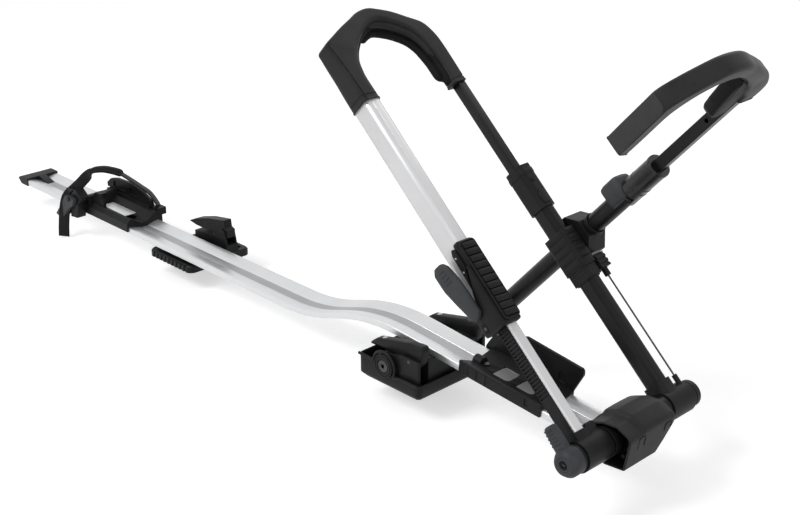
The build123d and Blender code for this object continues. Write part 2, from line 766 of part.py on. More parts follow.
# Ratchet body: holds the upper tube's lower end, slides on the rail, and carries the release lever
ratchet_low = 198.0
ratchet_high = 331.0
ratchet_near = -118.0
ratchet_far = -79.0
ratchet_half_depth = 21.8
ratchet_round = 6.0
ratchet_neck = 8.0
release_low = 226.0
release_high = 316.0
release_top = -2.0
release_bottom = -20.0
release_thick = 8.0
release_lean = 8.0
release_pin_s = 233.0
release_pin_radius = 2.0
ear_wall = 2.5
ear_size = 12.0
release_gap = 0.5
release_pin_y = ratchet_near - ear_size / 2

with BuildPart() as ratchet_body:
    with BuildSketch(leg_section(ratchet_low, (ratchet_near + ratchet_far) / 2)):
        RectangleRounded(ratchet_far - ratchet_near, 2 * ratchet_half_depth, ratchet_round)
    extrude(amount=ratchet_high - ratchet_low)
    with BuildSketch(hoop_face(-ratchet_half_depth)):
        Polygon(
            (ratchet_near, ratchet_low), (ratchet_near + ratchet_neck, ratchet_low),
            (ratchet_near, ratchet_low + ratchet_neck), align=None,
        )
    extrude(amount=2 * ratchet_half_depth, mode=Mode.SUBTRACT)
    for lift in (release_bottom - release_gap - ear_wall, release_top + release_gap):
        with BuildSketch(hoop_face(lift)):
            with Locations((ratchet_near, release_pin_s)):
                RectangleRounded(2 * ear_size, ear_size, ear_wall)
        extrude(amount=ear_wall)
    with BuildSketch(hoop_face(release_bottom - 2 * ear_wall)):
        with Locations((release_pin_y, release_pin_s)):
            Circle(release_pin_radius)
    extrude(amount=release_top - release_bottom + 4 * ear_wall, mode=Mode.SUBTRACT)
    with BuildSketch(leg_section(upper_start, near_leg_y)):
        RectangleRounded(upper_width, upper_depth, upper_round)
    extrude(amount=ratchet_high - upper_start + cut_over, mode=Mode.SUBTRACT)
    with BuildSketch(leg_section(ratchet_low - cut_over, rail_y)):
        RectangleRounded(rail_width + 2 * slide_gap, rail_depth + 2 * slide_gap, rail_round)
        with Locations((-(rail_width + rack_base + rack_tooth) / 2, -(rack_low_edge + rack_top_edge) / 2)):
            Rectangle(rack_base + rack_tooth + 2 * slide_gap, rack_top_edge - rack_low_edge + 2 * slide_gap)
    extrude(amount=upper_start - ratchet_low + 2 * cut_over, mode=Mode.SUBTRACT)
save(ratchet_body, "ratchet_body")

with BuildPart() as release_pin:
    with BuildSketch(hoop_face(release_bottom - release_gap - ear_wall)):
        with Locations((release_pin_y, release_pin_s)):
            Circle(release_pin_radius)
    extrude(amount=release_top - release_bottom + 2 * release_gap + 2 * ear_wall)
save(release_pin, "release_pin")

grip_low = 206.0
grip_near = -106.0
grip_far = -82.0
grip_thick = 5.0
grip_rib_pitch = 11.6
grip_rib_gap = 2.0
grip_rib_depth = 1.8
grip_high = ratchet_high - ratchet_round
grip_rib_count = int((grip_high - grip_low) / grip_rib_pitch)

with BuildPart() as ratchet_grip:
    with BuildSketch(hoop_face(ratchet_half_depth)):
        with Locations(((grip_near + grip_far) / 2, (grip_low + grip_high) / 2)):
            RectangleRounded(grip_far - grip_near, grip_high - grip_low, ratchet_round)
    extrude(amount=grip_thick)
    with BuildSketch(hoop_face(ratchet_half_depth + grip_thick)):
        for turn in range(grip_rib_count):
            with Locations(((grip_near + grip_far) / 2, grip_low + (turn + 1) * grip_rib_pitch)):
                Rectangle(grip_far - grip_near, grip_rib_gap)
    extrude(amount=-grip_rib_depth, mode=Mode.SUBTRACT)
save(ratchet_grip, "ratchet_grip")

# Release lever: leans outwards from its pin, and is squeezed towards the body
with BuildPart() as release_lever:
    with BuildSketch(hoop_face(release_bottom)):
        with BuildLine():
            Polyline(
                (ratchet_near - release_gap, release_low),
                (ratchet_near - release_gap, release_low + ear_size),
                (ratchet_near - release_lean, release_high),
                (ratchet_near - release_lean - release_thick, release_high),
                (ratchet_near - release_lean - release_thick, release_high - 2 * release_thick),
                (ratchet_near - release_thick - release_gap, release_low + ear_size),
                (ratchet_near - release_thick - release_gap, release_low), close=True,
            )
        make_face()
        with Locations((release_pin_y, release_pin_s)):
            Circle(release_pin_radius + fit_gap, mode=Mode.SUBTRACT)
    extrude(amount=release_top - release_bottom)
    fillet(release_lever.edges().filter_by(normal_axis).sort_by(leg_axis)[-2:], lever_round)
save(release_lever, "release_lever")

# Hoop casing: a moulded arch over both legs, thicker on the near leg, with an inner pad
casing_near_half = 22.0
casing_far_front = 12.0
casing_far_back = 15.0
casing_taper_start = -60.0
casing_taper_end = 58.0
casing_bend = 34.0
pad_thick = 5.0
pad_half_depth = 11.0
pad_bend = 26.0
casing_outer_shares = [
    (-1.0, 0.792), (-1.0, 0.925), (-0.867, 0.952), (-0.23, 0.996), (-0.053, 1.0), (0.177, 0.988),
    (0.602, 0.958), (0.814, 0.92), (0.9, 0.872), (0.956, 0.83), (0.965, 0.788),
]
casing_inner_shares = [
    (-0.646, 0.77), (-0.646, 0.838), (-0.584, 0.877), (-0.46, 0.914), (-0.177, 0.95), (0.044, 0.958),
    (0.301, 0.94), (0.496, 0.902), (0.593, 0.852), (0.646, 0.77),
]
casing_outer = scaled(casing_outer_shares, (0, 0), (hoop_half_width, hoop_height))
casing_inner = scaled(casing_inner_shares, (0, 0), (hoop_half_width, hoop_height))
thin_width = 18.0
thin_depth = 20.0
thin_wall = 1.6
thin_round = 2.0
thin_lift = -1.0
thin_start = 180.0
thin_engage = 17.0
thin_end = casing_far_low + thin_engage

with BuildPart() as hoop_casing:
    with BuildSketch(hoop_face(-casing_near_half)):
        with BuildLine():
            outer_line = FilletPolyline(*casing_outer, radius=casing_bend)
            Polyline(outer_line @ 1, (casing_inner[-1][0], casing_far_low),
                     (casing_inner[0][0], casing_near_low), outer_line @ 0)
        make_face()
    extrude(amount=2 * casing_near_half)
    with BuildSketch(leg_section(casing_far_low - cut_over, 0)):
        Polygon(
            (-2 * hoop_half_width, -casing_near_half), (casing_taper_start, -casing_near_half),
            (casing_taper_end, -casing_far_front), (2 * hoop_half_width, -casing_far_front),
            (2 * hoop_half_width, casing_far_back), (casing_taper_end, casing_far_back),
            (casing_taper_start, casing_near_half), (-2 * hoop_half_width, casing_near_half), align=None,
        )
    extrude(amount=hoop_height - casing_far_low + 2 * cut_over, mode=Mode.INTERSECT)
    with BuildSketch(hoop_face(-2 * casing_near_half)):
        with BuildLine():
            inner_line = FilletPolyline(*casing_inner, radius=pad_bend)
            Line(inner_line @ 1, inner_line @ 0)
        make_face()
        offset(amount=pad_thick, kind=Kind.INTERSECTION)
    extrude(amount=4 * casing_near_half, mode=Mode.SUBTRACT)
    with BuildSketch(leg_section(casing_near_low - cut_over, near_leg_y)):
        RectangleRounded(upper_width, upper_depth, upper_round)
    extrude(amount=upper_end - casing_near_low + cut_over, mode=Mode.SUBTRACT)
    with BuildSketch(leg_section(casing_far_low - cut_over, far_leg_y, thin_lift)):
        RectangleRounded(thin_width, thin_depth, thin_round)
    extrude(amount=thin_end - casing_far_low + cut_over, mode=Mode.SUBTRACT)
save(hoop_casing, "hoop_casing")

with BuildPart() as hoop_pad:
    with BuildSketch(hoop_face(-pad_half_depth)):
        with BuildLine():
            pad_line = FilletPolyline(*casing_inner, radius=pad_bend)
            Line(pad_line @ 1, pad_line @ 0)
        pad_opening = make_face()
        offset(amount=pad_thick, kind=Kind.INTERSECTION)
        add(pad_opening, mode=Mode.SUBTRACT)
        with Locations((0, casing_near_low - upper_depth)):
            Rectangle(4 * hoop_half_width, 2 * upper_depth + 2 * face_gap, mode=Mode.SUBTRACT)
    extrude(amount=2 * pad_half_depth)
save(hoop_pad, "hoop_pad")

with BuildPart() as far_thin_tube:
    with BuildSketch(leg_section(thin_start, far_leg_y, thin_lift)):
        RectangleRounded(thin_width, thin_depth, thin_round)
        RectangleRounded(thin_width - 2 * thin_wall, thin_depth - 2 * thin_wall, thin_round - thin_wall,
                         mode=Mode.SUBTRACT)
    extrude(amount=thin_end - thin_start)
save(far_thin_tube, "far_thin_tube")

# Far lower tube: a black oval tube from the hub, with a sleeve that guides the thin tube
lower_width = 24.0
lower_depth = 32.0
lower_round = 9.0
lower_wall = 2.2
lower_start = 20.5
lower_end = 398.0
sleeve_low = 334.0
sleeve_high = 407.0
sleeve_wall = 2.6
sleeve_button_size = 9.0
sleeve_button_rise = 1.5
sleeve_button_s = 350.0

with BuildPart() as far_lower_tube:
    with BuildSketch(leg_section(lower_start, far_leg_y)):
        RectangleRounded(lower_width, lower_depth, lower_round)
        RectangleRounded(lower_width - 2 * lower_wall, lower_depth - 2 * lower_wall, lower_round - lower_wall,
                         mode=Mode.SUBTRACT)
    extrude(amount=lower_end - lower_start)
save(far_lower_tube, "far_lower_tube")

with BuildPart() as far_sleeve:
    with BuildSketch(leg_section(sleeve_low, far_leg_y)):
        RectangleRounded(lower_width + 2 * sleeve_wall, lower_depth + 2 * sleeve_wall, lower_round)
    extrude(amount=sleeve_high - sleeve_low)
    with BuildSketch(hoop_face(lower_depth / 2)):
        with Locations((far_leg_y - sleeve_wall, sleeve_button_s)):
            RectangleRounded(sleeve_button_size, 2 * sleeve_button_size, sleeve_wall)
    extrude(amount=sleeve_wall + sleeve_button_rise)
    with BuildSketch(leg_section(sleeve_low - cut_over, far_leg_y)):
        RectangleRounded(lower_width, lower_depth, lower_round)
    extrude(amount=lower_end - sleeve_low + cut_over, mode=Mode.SUBTRACT)
    with BuildSketch(leg_section(sleeve_low, far_leg_y, thin_lift)):
        RectangleRounded(thin_width + 2 * slide_gap, thin_depth + 2 * slide_gap, thin_round)
    extrude(amount=sleeve_high - sleeve_low + cut_over, mode=Mode.SUBTRACT)
save(far_sleeve, "far_sleeve")

# Far leg socket: a pocket for the lower tube on the hub, with the anchor of the guide rod
far_socket_near = 78.0
far_socket_far = 128.0
far_socket_height = 34.0
rod_y = 122.0
rod_lift = 13.0
rod_radius = 1.4
rod_start = 22.0
rod_end = 212.0
anchor_radius = 4.0
anchor_height = 32.0

with BuildPart() as far_leg_socket:
    with BuildSketch(side_plane(far_socket_far)):
        with Locations((hub_x, hub_z)):
            Circle(socket_radius)
    extrude(amount=far_socket_far - far_socket_near)
    with BuildSketch(leg_section(0, far_leg_y)):
        RectangleRounded(lower_width + 2 * socket_wall, lower_depth + 2 * socket_wall, lower_round)
    extrude(amount=far_socket_height)
    with BuildSketch(leg_section(0, rod_y, rod_lift)):
        Circle(anchor_radius)
    extrude(amount=anchor_height)
    with BuildSketch(side_plane(far_socket_far + cut_over)):
        with Locations((hub_x, hub_z)):
            Circle(hub_radius)
    extrude(amount=far_socket_far - far_socket_near + 2 * cut_over, mode=Mode.SUBTRACT)
    with BuildSketch(leg_section(lower_start, far_leg_y)):
        RectangleRounded(lower_width, lower_depth, lower_round)
    extrude(amount=far_socket_height, mode=Mode.SUBTRACT)
    with BuildSketch(leg_section(rod_start, rod_y, rod_lift)):
        Circle(rod_radius)
    extrude(amount=anchor_height, mode=Mode.SUBTRACT)
save(far_leg_socket, "far_leg_socket")

with BuildPart() as guide_rod:
    with BuildSketch(leg_section(rod_start, rod_y, rod_lift)):
        Circle(rod_radius)
    extrude(amount=rod_end - rod_start)
save(guide_rod, "guide_rod")

# Carriage: slides on the lower tube and carries the front arm's pivot
carriage_low = 230.0
carriage_high = 292.0
carriage_tail_low = 211.0
carriage_near = 80.2
carriage_face = 109.0
carriage_half_depth = 23.0
carriage_tail_inset = 2.2
carriage_groove_pitch = 8.0
carriage_groove_width = 3.0
carriage_groove_depth = 1.4
carriage_round = 5.0
cable_block_near = carriage_face
cable_block_far = 129.0
cable_block_low = 215.0
cable_block_high = 238.0
cable_block_bottom = 2.0
cable_block_top = 24.0
cable_nose_low = 203.0
cable_nose_radius = 5.0
cable_rib_count = 3
cable_rib_width = 3.0
cable_rib_depth = 1.6
cross_s = 276.0
arm_tilt = 48.1
pivot_radius = 15.0
pivot_block_near = 109.5
pivot_block_far = 148.0
pivot_block_flats = 66.0
pivot_sides = 8
arm_y = 131.0
arm_radius = 14.8
arm_bore = 12.6
pivot_length = arm_y - arm_radius - carriage_face - cap_gap
cross_point = hub_point + leg_dir * cross_s
carriage_groove_count = int((carriage_high - carriage_low) / carriage_groove_pitch)

with BuildPart() as carriage:
    with BuildSketch(leg_section(carriage_low, (carriage_near + carriage_face) / 2)):
        RectangleRounded(carriage_face - carriage_near, 2 * carriage_half_depth, carriage_round)
    extrude(amount=carriage_high - carriage_low)
    with BuildSketch(leg_section(carriage_tail_low, (carriage_near + carriage_face) / 2)):
        RectangleRounded(carriage_face - carriage_near - carriage_tail_inset,
                         2 * carriage_half_depth - 2 * carriage_tail_inset, carriage_round)
    extrude(amount=carriage_low - carriage_tail_low)
    with BuildSketch(hoop_face(carriage_half_depth)):
        for turn in range(carriage_groove_count):
            with Locations((carriage_face, carriage_low + (turn + 1 / 2) * carriage_groove_pitch)):
                Rectangle(2 * carriage_face, carriage_groove_width)
    extrude(amount=-carriage_groove_depth, mode=Mode.SUBTRACT)
    with BuildSketch(leg_section(cable_block_low, (cable_block_near + cable_block_far) / 2,
                                 (cable_block_bottom + cable_block_top) / 2)):
        Rectangle(cable_block_far - cable_block_near, cable_block_top - cable_block_bottom)
    extrude(amount=cable_block_high - cable_block_low)
    for turn in range(cable_rib_count):
        start = cable_block_low + (turn + 1 / 2) * (cable_block_high - cable_block_low) / cable_rib_count
        with BuildSketch(leg_section(start, (cable_block_near + cable_block_far) / 2,
                                     cable_block_top)):
            Rectangle(cable_block_far - cable_block_near, 2 * cable_rib_depth)
        extrude(amount=cable_rib_width, mode=Mode.SUBTRACT)
    with BuildSketch(leg_section(cable_nose_low, rod_y, rod_lift)):
        Circle(cable_nose_radius)
    extrude(amount=cable_block_low - cable_nose_low)
    with BuildSketch(leg_section(carriage_tail_low - cut_over, far_leg_y)):
        RectangleRounded(lower_width + 2 * slide_gap, lower_depth + 2 * slide_gap, lower_round)
    extrude(amount=carriage_high - carriage_tail_low + 2 * cut_over, mode=Mode.SUBTRACT)
    with BuildSketch(leg_section(cable_nose_low, rod_y, rod_lift)):
        Circle(rod_radius + slide_gap)
    extrude(amount=cable_block_high - cable_nose_low - cap_gap, mode=Mode.SUBTRACT)
save(carriage, "carriage")

with BuildPart() as pivot_boss:
    with BuildSketch(side_plane(carriage_face)):
        with Locations((cross_point.X, cross_point.Z)):
            Circle(pivot_radius)
    extrude(amount=-pivot_length)
save(pivot_boss, "pivot_boss")

# Front arm: a pivot block, a round tube with its sleeve, and a thin square tube that slides inside
arm_dir = Vector(cos(radians(arm_tilt)), 0, sin(radians(arm_tilt)))
arm_normal = Vector(sin(radians(arm_tilt)), 0, -cos(radians(arm_tilt)))
arm_start = -212.0
arm_end = 184.0
arm_plug = 8.0
arm_cap_length = 5.0
collar_start = 33.0
collar_length = 8.0
collar_wall = 2.5
arm_sleeve_low = 131.0
arm_sleeve_tail = 116.0
arm_sleeve_high = 194.0
arm_sleeve_wall = 2.8
arm_thin_size = 17.5
arm_thin_wall = 1.6
arm_thin_round = 2.0
arm_thin_start = 20.0
arm_thin_end = 385.0
arm_hole_k = 304.0
arm_hole_radius = 3.2


def arm_section(distance):
    """Plane square to the front arm: x across the carrier, y up and back"""
    origin = cross_point + arm_dir * distance + Vector(0, arm_y, 0)
    return Plane(origin=origin, x_dir=(0, 1, 0), z_dir=arm_dir)


def arm_face(lift):
    """Plane of the front hook: x across the carrier, y up the arm, facing forward and down"""
    return Plane(origin=cross_point + arm_normal * lift, x_dir=(0, 1, 0), z_dir=arm_normal)


with BuildPart() as pivot_block:
    with BuildSketch(side_plane(pivot_block_far)):
        with Locations((cross_point.X, cross_point.Z)):
            RegularPolygon(pivot_block_flats / 2, pivot_sides, major_radius=False,
                           rotation=arm_tilt + 180 / pivot_sides)
    extrude(amount=pivot_block_far - pivot_block_near)
    with BuildSketch(side_plane(pivot_block_near - cut_over)):
        with Locations((cross_point.X, cross_point.Z)):
            Circle(pivot_radius + fit_gap)
    extrude(amount=-arm_y + pivot_block_near - cut_over, mode=Mode.SUBTRACT)
    with BuildSketch(arm_section(-pivot_block_flats)):
        Circle(arm_radius)
    extrude(amount=2 * pivot_block_flats, mode=Mode.SUBTRACT)
save(pivot_block, "pivot_block")

with BuildPart() as arm_tube:
    with BuildSketch(arm_section(arm_start)):
        Circle(arm_radius)
        Circle(arm_bore, mode=Mode.SUBTRACT)
    extrude(amount=arm_end - arm_start)
save(arm_tube, "arm_tube")

with BuildPart() as arm_end_cap:
    with BuildSketch(arm_section(arm_start)):
        Circle(arm_bore)
    extrude(amount=arm_plug)
    with BuildSketch(arm_section(arm_start)):
        Circle(arm_radius)
    extrude(amount=-arm_cap_length)
    chamfer(arm_end_cap.faces().sort_by(Axis(cross_point, arm_dir))[0].edges(), lever_round)
save(arm_end_cap, "arm_end_cap")

with BuildPart() as arm_collar:
    with BuildSketch(arm_section(collar_start)):
        Circle(arm_radius + collar_wall)
        Circle(arm_radius, mode=Mode.SUBTRACT)
    extrude(amount=collar_length)
save(arm_collar, "arm_collar")

with BuildPart() as arm_sleeve:
    with BuildSketch(arm_section(arm_sleeve_low)):
        Circle(arm_radius + arm_sleeve_wall)
    extrude(amount=arm_sleeve_high - arm_sleeve_low)
    with BuildSketch(arm_section(arm_sleeve_tail)):
        Circle(arm_radius + arm_sleeve_wall)
        with Locations((0, arm_radius / 2)):
            Rectangle(4 * arm_radius, 3 * arm_radius, mode=Mode.SUBTRACT)
    extrude(amount=arm_sleeve_low - arm_sleeve_tail)
    with BuildSketch(arm_section(arm_sleeve_tail - cut_over)):
        Circle(arm_radius)
    extrude(amount=arm_end - arm_sleeve_tail + cut_over, mode=Mode.SUBTRACT)
    with BuildSketch(arm_section(arm_end - cut_over)):
        RectangleRounded(arm_thin_size + 2 * slide_gap, arm_thin_size + 2 * slide_gap, arm_thin_round)
    extrude(amount=arm_sleeve_high - arm_end + 2 * cut_over, mode=Mode.SUBTRACT)
save(arm_sleeve, "arm_sleeve")

with BuildPart() as arm_thin_tube:
    with BuildSketch(arm_section(arm_thin_start)):
        RectangleRounded(arm_thin_size, arm_thin_size, arm_thin_round)
        RectangleRounded(arm_thin_size - 2 * arm_thin_wall, arm_thin_size - 2 * arm_thin_wall,
                         arm_thin_round - arm_thin_wall, mode=Mode.SUBTRACT)
    extrude(amount=arm_thin_end - arm_thin_start)
    hole_place = cross_point + arm_dir * arm_hole_k + Vector(0, arm_y - arm_thin_size, 0)
    with BuildSketch(Plane(origin=hole_place, x_dir=arm_dir, z_dir=(0, 1, 0))):
        Circle(arm_hole_radius)
    extrude(amount=arm_thin_size, mode=Mode.SUBTRACT)
save(arm_thin_tube, "arm_thin_tube")

# Size button: a saddle that straddles the arm tube and is pressed onto it
button_low = 90.0
button_high = 130.5
button_wall = 3.5
button_top = 29.0
button_skirt = -7.0
button_travel = 3.0
button_round = 5.0
button_half = arm_radius + cap_gap + button_wall
button_cavity = arm_radius + cap_gap

with BuildPart() as size_button:
    with BuildSketch(arm_section(button_low)):
        with Locations((0, (button_top + button_skirt) / 2)):
            RectangleRounded(2 * button_half, button_top - button_skirt, button_round)
        with Locations((0, button_travel)):
            Circle(button_cavity, mode=Mode.SUBTRACT)
        with Locations((0, button_travel + button_skirt - button_cavity)):
            Rectangle(2 * button_cavity, 2 * button_cavity - 2 * button_skirt, mode=Mode.SUBTRACT)
    extrude(amount=button_high - button_low)
save(size_button, "size_button")

# Front hook: the moulded arch on the thin tube, with its pad and a pad stub beside the arm
hook_half = 14.0
hook_low = 333.0
hook_far_low = 362.0
hook_rise = 143.0
hook_reach = 150.0
hook_bend = 20.0
hook_pad_thick = 4.0
hook_pad_half = 9.0
stub_half = 10.0
hook_outer_shares = [
    (-0.7, 0.0), (-0.7, 0.692), (-0.333, 0.923), (-0.12, 1.0), (0.133, 0.972), (0.427, 0.853),
    (0.787, 0.678), (0.947, 0.483), (1.0, 0.203),
]
hook_inner_shares = [
    (-0.493, -0.09), (-0.493, 0.483), (-0.413, 0.678), (-0.167, 0.783), (0.133, 0.755), (0.4, 0.643),
    (0.633, 0.434), (0.747, 0.203), (0.747, -0.09),
]
stub_shares = [
    (0.76, 0.203), (0.76, 0.084), (0.613, 0.084), (0.533, 0.28), (0.5, 0.48), (0.39, 0.65), (0.41, 0.655),
    (0.64, 0.44),
]
hook_outer = scaled(hook_outer_shares, (0, hook_low), (hook_reach, hook_rise))
hook_inner = scaled(hook_inner_shares, (0, hook_low), (hook_reach, hook_rise))

with BuildPart() as hook_casing:
    with BuildSketch(arm_face(-hook_half)):
        with BuildLine():
            hook_line = FilletPolyline(*hook_outer, radius=hook_bend)
            Polyline(hook_line @ 1, (hook_inner[-1][0], hook_far_low), (hook_inner[0][0], hook_low),
                     hook_line @ 0)
        make_face()
    extrude(amount=2 * hook_half)
    with BuildSketch(arm_face(-2 * hook_half)):
        with BuildLine():
            mouth_line = FilletPolyline(*hook_inner, radius=hook_bend)
            Line(mouth_line @ 1, mouth_line @ 0)
        make_face()
        offset(amount=hook_pad_thick, kind=Kind.INTERSECTION)
    extrude(amount=4 * hook_half, mode=Mode.SUBTRACT)
    with BuildSketch(arm_section(arm_end)):
        RectangleRounded(arm_thin_size, arm_thin_size, arm_thin_round)
    extrude(amount=arm_thin_end - arm_end, mode=Mode.SUBTRACT)
save(hook_casing, "hook_casing")

with BuildPart() as hook_pad:
    with BuildSketch(arm_face(-hook_pad_half)):
        with BuildLine():
            lining_line = FilletPolyline(*hook_inner, radius=hook_bend)
            Line(lining_line @ 1, lining_line @ 0)
        hook_opening = make_face()
        offset(amount=hook_pad_thick, kind=Kind.INTERSECTION)
        add(hook_opening, mode=Mode.SUBTRACT)
        with Locations((0, hook_low - hook_half)):
            Rectangle(4 * hook_low, 2 * hook_half + 2 * hook_pad_thick, mode=Mode.SUBTRACT)
        with Locations((hook_inner[-1][0], hook_low)):
            Rectangle(4 * hook_pad_thick, 2 * (hook_far_low - hook_low), mode=Mode.SUBTRACT)
    extrude(amount=2 * hook_pad_half)
    with BuildSketch(arm_face(-stub_half)):
        Polygon(*scaled(stub_shares, (0, hook_low), (hook_reach, hook_rise)), align=None)
    extrude(amount=2 * stub_half)
save(hook_pad, "hook_pad")

# Wheel holder: a saddle that slides on the tray, with a far wall, a ladder strap and a ratchet buckle
holder_rear = -950.0
holder_front = -775.0
holder_near_wall = 3.2
holder_far_wall = 8.7
holder_near = -tray_half - holder_near_wall
holder_far = tray_half + holder_far_wall
holder_bottom = 23.0
holder_top = 47.0
holder_key_bottom = 22.3
holder_bevel = 8.0
trough_near_inset = 7.3
trough_far_inset = 9.3
trough_near = -tray_half + trough_near_inset
trough_far = tray_half - trough_far_inset
trough_floor = 34.0
trough_flat = 6.0
window_rear = -890.0
window_front = -805.0
window_near = -22.0
window_far = 6.0
window_round = 4.0
ledge_width = 14.0
ledge_near = holder_far - ledge_width
ledge_rise = 5.0
ledge_front = -800.0
ramp_rise = 11.0
ramp_length = 45.0
ramp_over = 0.7
ramp_half = tray_half + ramp_over
mound_rear = -914.0
mound_length = 43.0
mound_near = trough_near
mound_width = 16.0
mound_low = 55.0
mound_high = 70.0
ear_length = 22.0
ear_reach = 10.0
ear_far = holder_far + ear_reach
ear_top = 52.0
ear_drop = 14.0
holder_length = holder_front - holder_rear

# Wheel strap: stands in an upright plane from the far front ear to the near rear buckle
buckle_width = 19.5
buckle_near = holder_near - buckle_width
strap_front_x = -789.0
strap_front_out = 1.0
strap_front_y = holder_far + strap_front_out
strap_rear_x = -952.136
strap_rear_out = 0.13
strap_rear_y = buckle_near - strap_rear_out
strap_run = Vector(strap_rear_x - strap_front_x, strap_rear_y - strap_front_y, 0)
strap_span = strap_run.length
strap_top = 120.0
strap_width = 22.0
strap_thick = 3.0
strap_bend = 18.0
strap_foot = 42.0
strap_floor = 16.0
strap_tail_out = 19.0
strap_tail_reach = strap_span + strap_tail_out
strap_tail_knee = 0.0
strap_tail_bottom = -34.0
strap_pad_thick = 10.0
strap_pad_width = 20.0
strap_shares = [
    (0.0, 0.49), (0.078, 0.667), (0.181, 0.775), (0.275, 0.867), (0.383, 0.958), (0.554, 1.0),
    (0.668, 0.971), (0.725, 0.925), (0.85, 0.717), (0.927, 0.6), (1.0, 0.49),
]
pad_start_share = 0.36
pad_end_share = 0.73
strap_dir = strap_run.normalized()
strap_side = Vector(-strap_dir.Y, strap_dir.X, 0)
lever_gap = 0.6
buckle_lever_far = buckle_near - lever_gap
buckle_lever_thick = 8.0
buckle_clear_top = 76.0
buckle_clear_bottom = 1.0
strap_outer = scaled(strap_shares, (0, 0), (strap_span, strap_top))
strap_corners = [(0, strap_foot), *strap_outer, (strap_span, strap_floor)]


def strap_face(side):
    """Upright plane of the strap: x along it from the ear, y up"""
    origin = Vector(strap_front_x, strap_front_y, 0) + strap_side * side
    return Plane(origin=origin, x_dir=strap_dir, z_dir=-strap_side)


with BuildPart() as holder_strap:
    with BuildSketch(strap_face(strap_width / 2)):
        with BuildLine():
            crown_line = FilletPolyline(*strap_corners, radius=strap_bend)
            Line(crown_line @ 1, (0, strap_floor))
            Line((0, strap_floor), crown_line @ 0)
        strap_arch = make_face()
        offset(strap_arch, amount=-strap_thick, kind=Kind.INTERSECTION, mode=Mode.SUBTRACT)
        with Locations((strap_span / 2 - strap_thick, strap_floor)):
            Rectangle(strap_span, 2 * strap_thick, mode=Mode.SUBTRACT)
        with Locations((0, strap_floor)):
            Rectangle(2 * strap_thick, 2 * (strap_foot - strap_floor), mode=Mode.SUBTRACT)
        Polygon(
            (strap_span - strap_thick, strap_floor + strap_thick), (strap_span, strap_floor + strap_thick),
            (strap_tail_reach - strap_thick, strap_tail_knee), (strap_tail_reach, strap_tail_bottom),
            (strap_tail_reach - strap_thick, strap_tail_bottom),
            (strap_tail_reach - 2 * strap_thick, strap_tail_knee),
            (strap_span - strap_thick, strap_floor - strap_thick), align=None,
        )
    extrude(amount=strap_width)
    with BuildSketch(side_plane(buckle_near)):
        with Locations((holder_rear, (buckle_clear_top + buckle_clear_bottom) / 2)):
            Rectangle(holder_length, buckle_clear_top - buckle_clear_bottom)
    extrude(amount=2 * strap_width, mode=Mode.SUBTRACT)
save(holder_strap, "holder_strap")

with BuildPart() as holder_base:
    with BuildSketch(cross_plane(holder_rear)):
        Polygon(
            (holder_near, holder_bottom), (holder_near, holder_top - holder_bevel),
            (holder_near + holder_bevel, holder_top), (trough_near, holder_top), (-trough_flat, trough_floor),
            (trough_flat, trough_floor), (trough_far, holder_top), (holder_far, holder_top),
            (holder_far, holder_bottom), align=None,
        )
        with Locations((0, holder_bottom)):
            Rectangle(groove_inside - 2 * slide_gap, 2 * (holder_bottom - holder_key_bottom))
    extrude(amount=holder_length)
    with BuildSketch(side_plane(ramp_half)):
        Polygon(
            (holder_rear, trough_floor), (holder_rear, holder_top),
            (holder_rear + ramp_length / 2, holder_top + ramp_rise),
            (holder_rear + ramp_length * 3 / 4, holder_top + ramp_rise),
            (holder_rear + ramp_length, trough_floor),
            align=None,
        )
    extrude(amount=2 * ramp_half)
    with BuildSketch(side_plane(mound_near + mound_width)):
        Polygon(
            (mound_rear, trough_floor), (mound_rear, mound_low), (mound_rear + mound_length / 3, mound_high),
            (mound_rear + mound_length * 3 / 4, mound_high), (mound_rear + mound_length, mound_low),
            (mound_rear + mound_length, trough_floor), align=None,
        )
    extrude(amount=mound_width)
    with Locations(Plane(origin=(holder_rear, ledge_near, holder_top))):
        Box(ledge_front - holder_rear, holder_far - ledge_near, ledge_rise, align=Align.MIN)
    with Locations(Plane(origin=(holder_front - ear_length, holder_far - holder_bevel, ear_top - ear_drop))):
        Box(ear_length, ear_far - holder_far + holder_bevel, ear_drop, align=Align.MIN)
    with BuildSketch(Plane.XY.offset(holder_key_bottom - cut_over)):
        with Locations(((window_rear + window_front) / 2, (window_near + window_far) / 2)):
            RectangleRounded(window_front - window_rear, window_far - window_near, window_round)
    extrude(amount=holder_top + cut_over, mode=Mode.SUBTRACT)
    for turn in (1, -1):
        with BuildSketch(cross_plane(holder_rear - cut_over)):
            Polygon(*scaled(tray_outline(slide_gap, True), (0, tray_rear_height), (turn, 1)), align=None)
        extrude(amount=holder_length + 2 * cut_over, mode=Mode.SUBTRACT)
    add(holder_strap.part, mode=Mode.SUBTRACT)
save(holder_base, "holder_base")

# Far wall of the wheel holder, an arch with two recesses on its inner face
wall_rear = -959.0
wall_length = 160.0
wall_rise = 28.0
wall_thick = 6.0
wall_recess = 3.0
wall_recess_width = 46.0
wall_recess_height = 14.0
wall_recess_pitch = 58.0
wall_recess_start = 46.0
wall_recess_round = 4.0
wall_foot = holder_top + ledge_rise
wall_shares = [
    (0.0, 0.0), (0.0, 0.32), (0.088, 0.71), (0.238, 0.93), (0.581, 1.0), (0.806, 0.71), (0.97, 0.29),
    (1.0, 0.0),
]

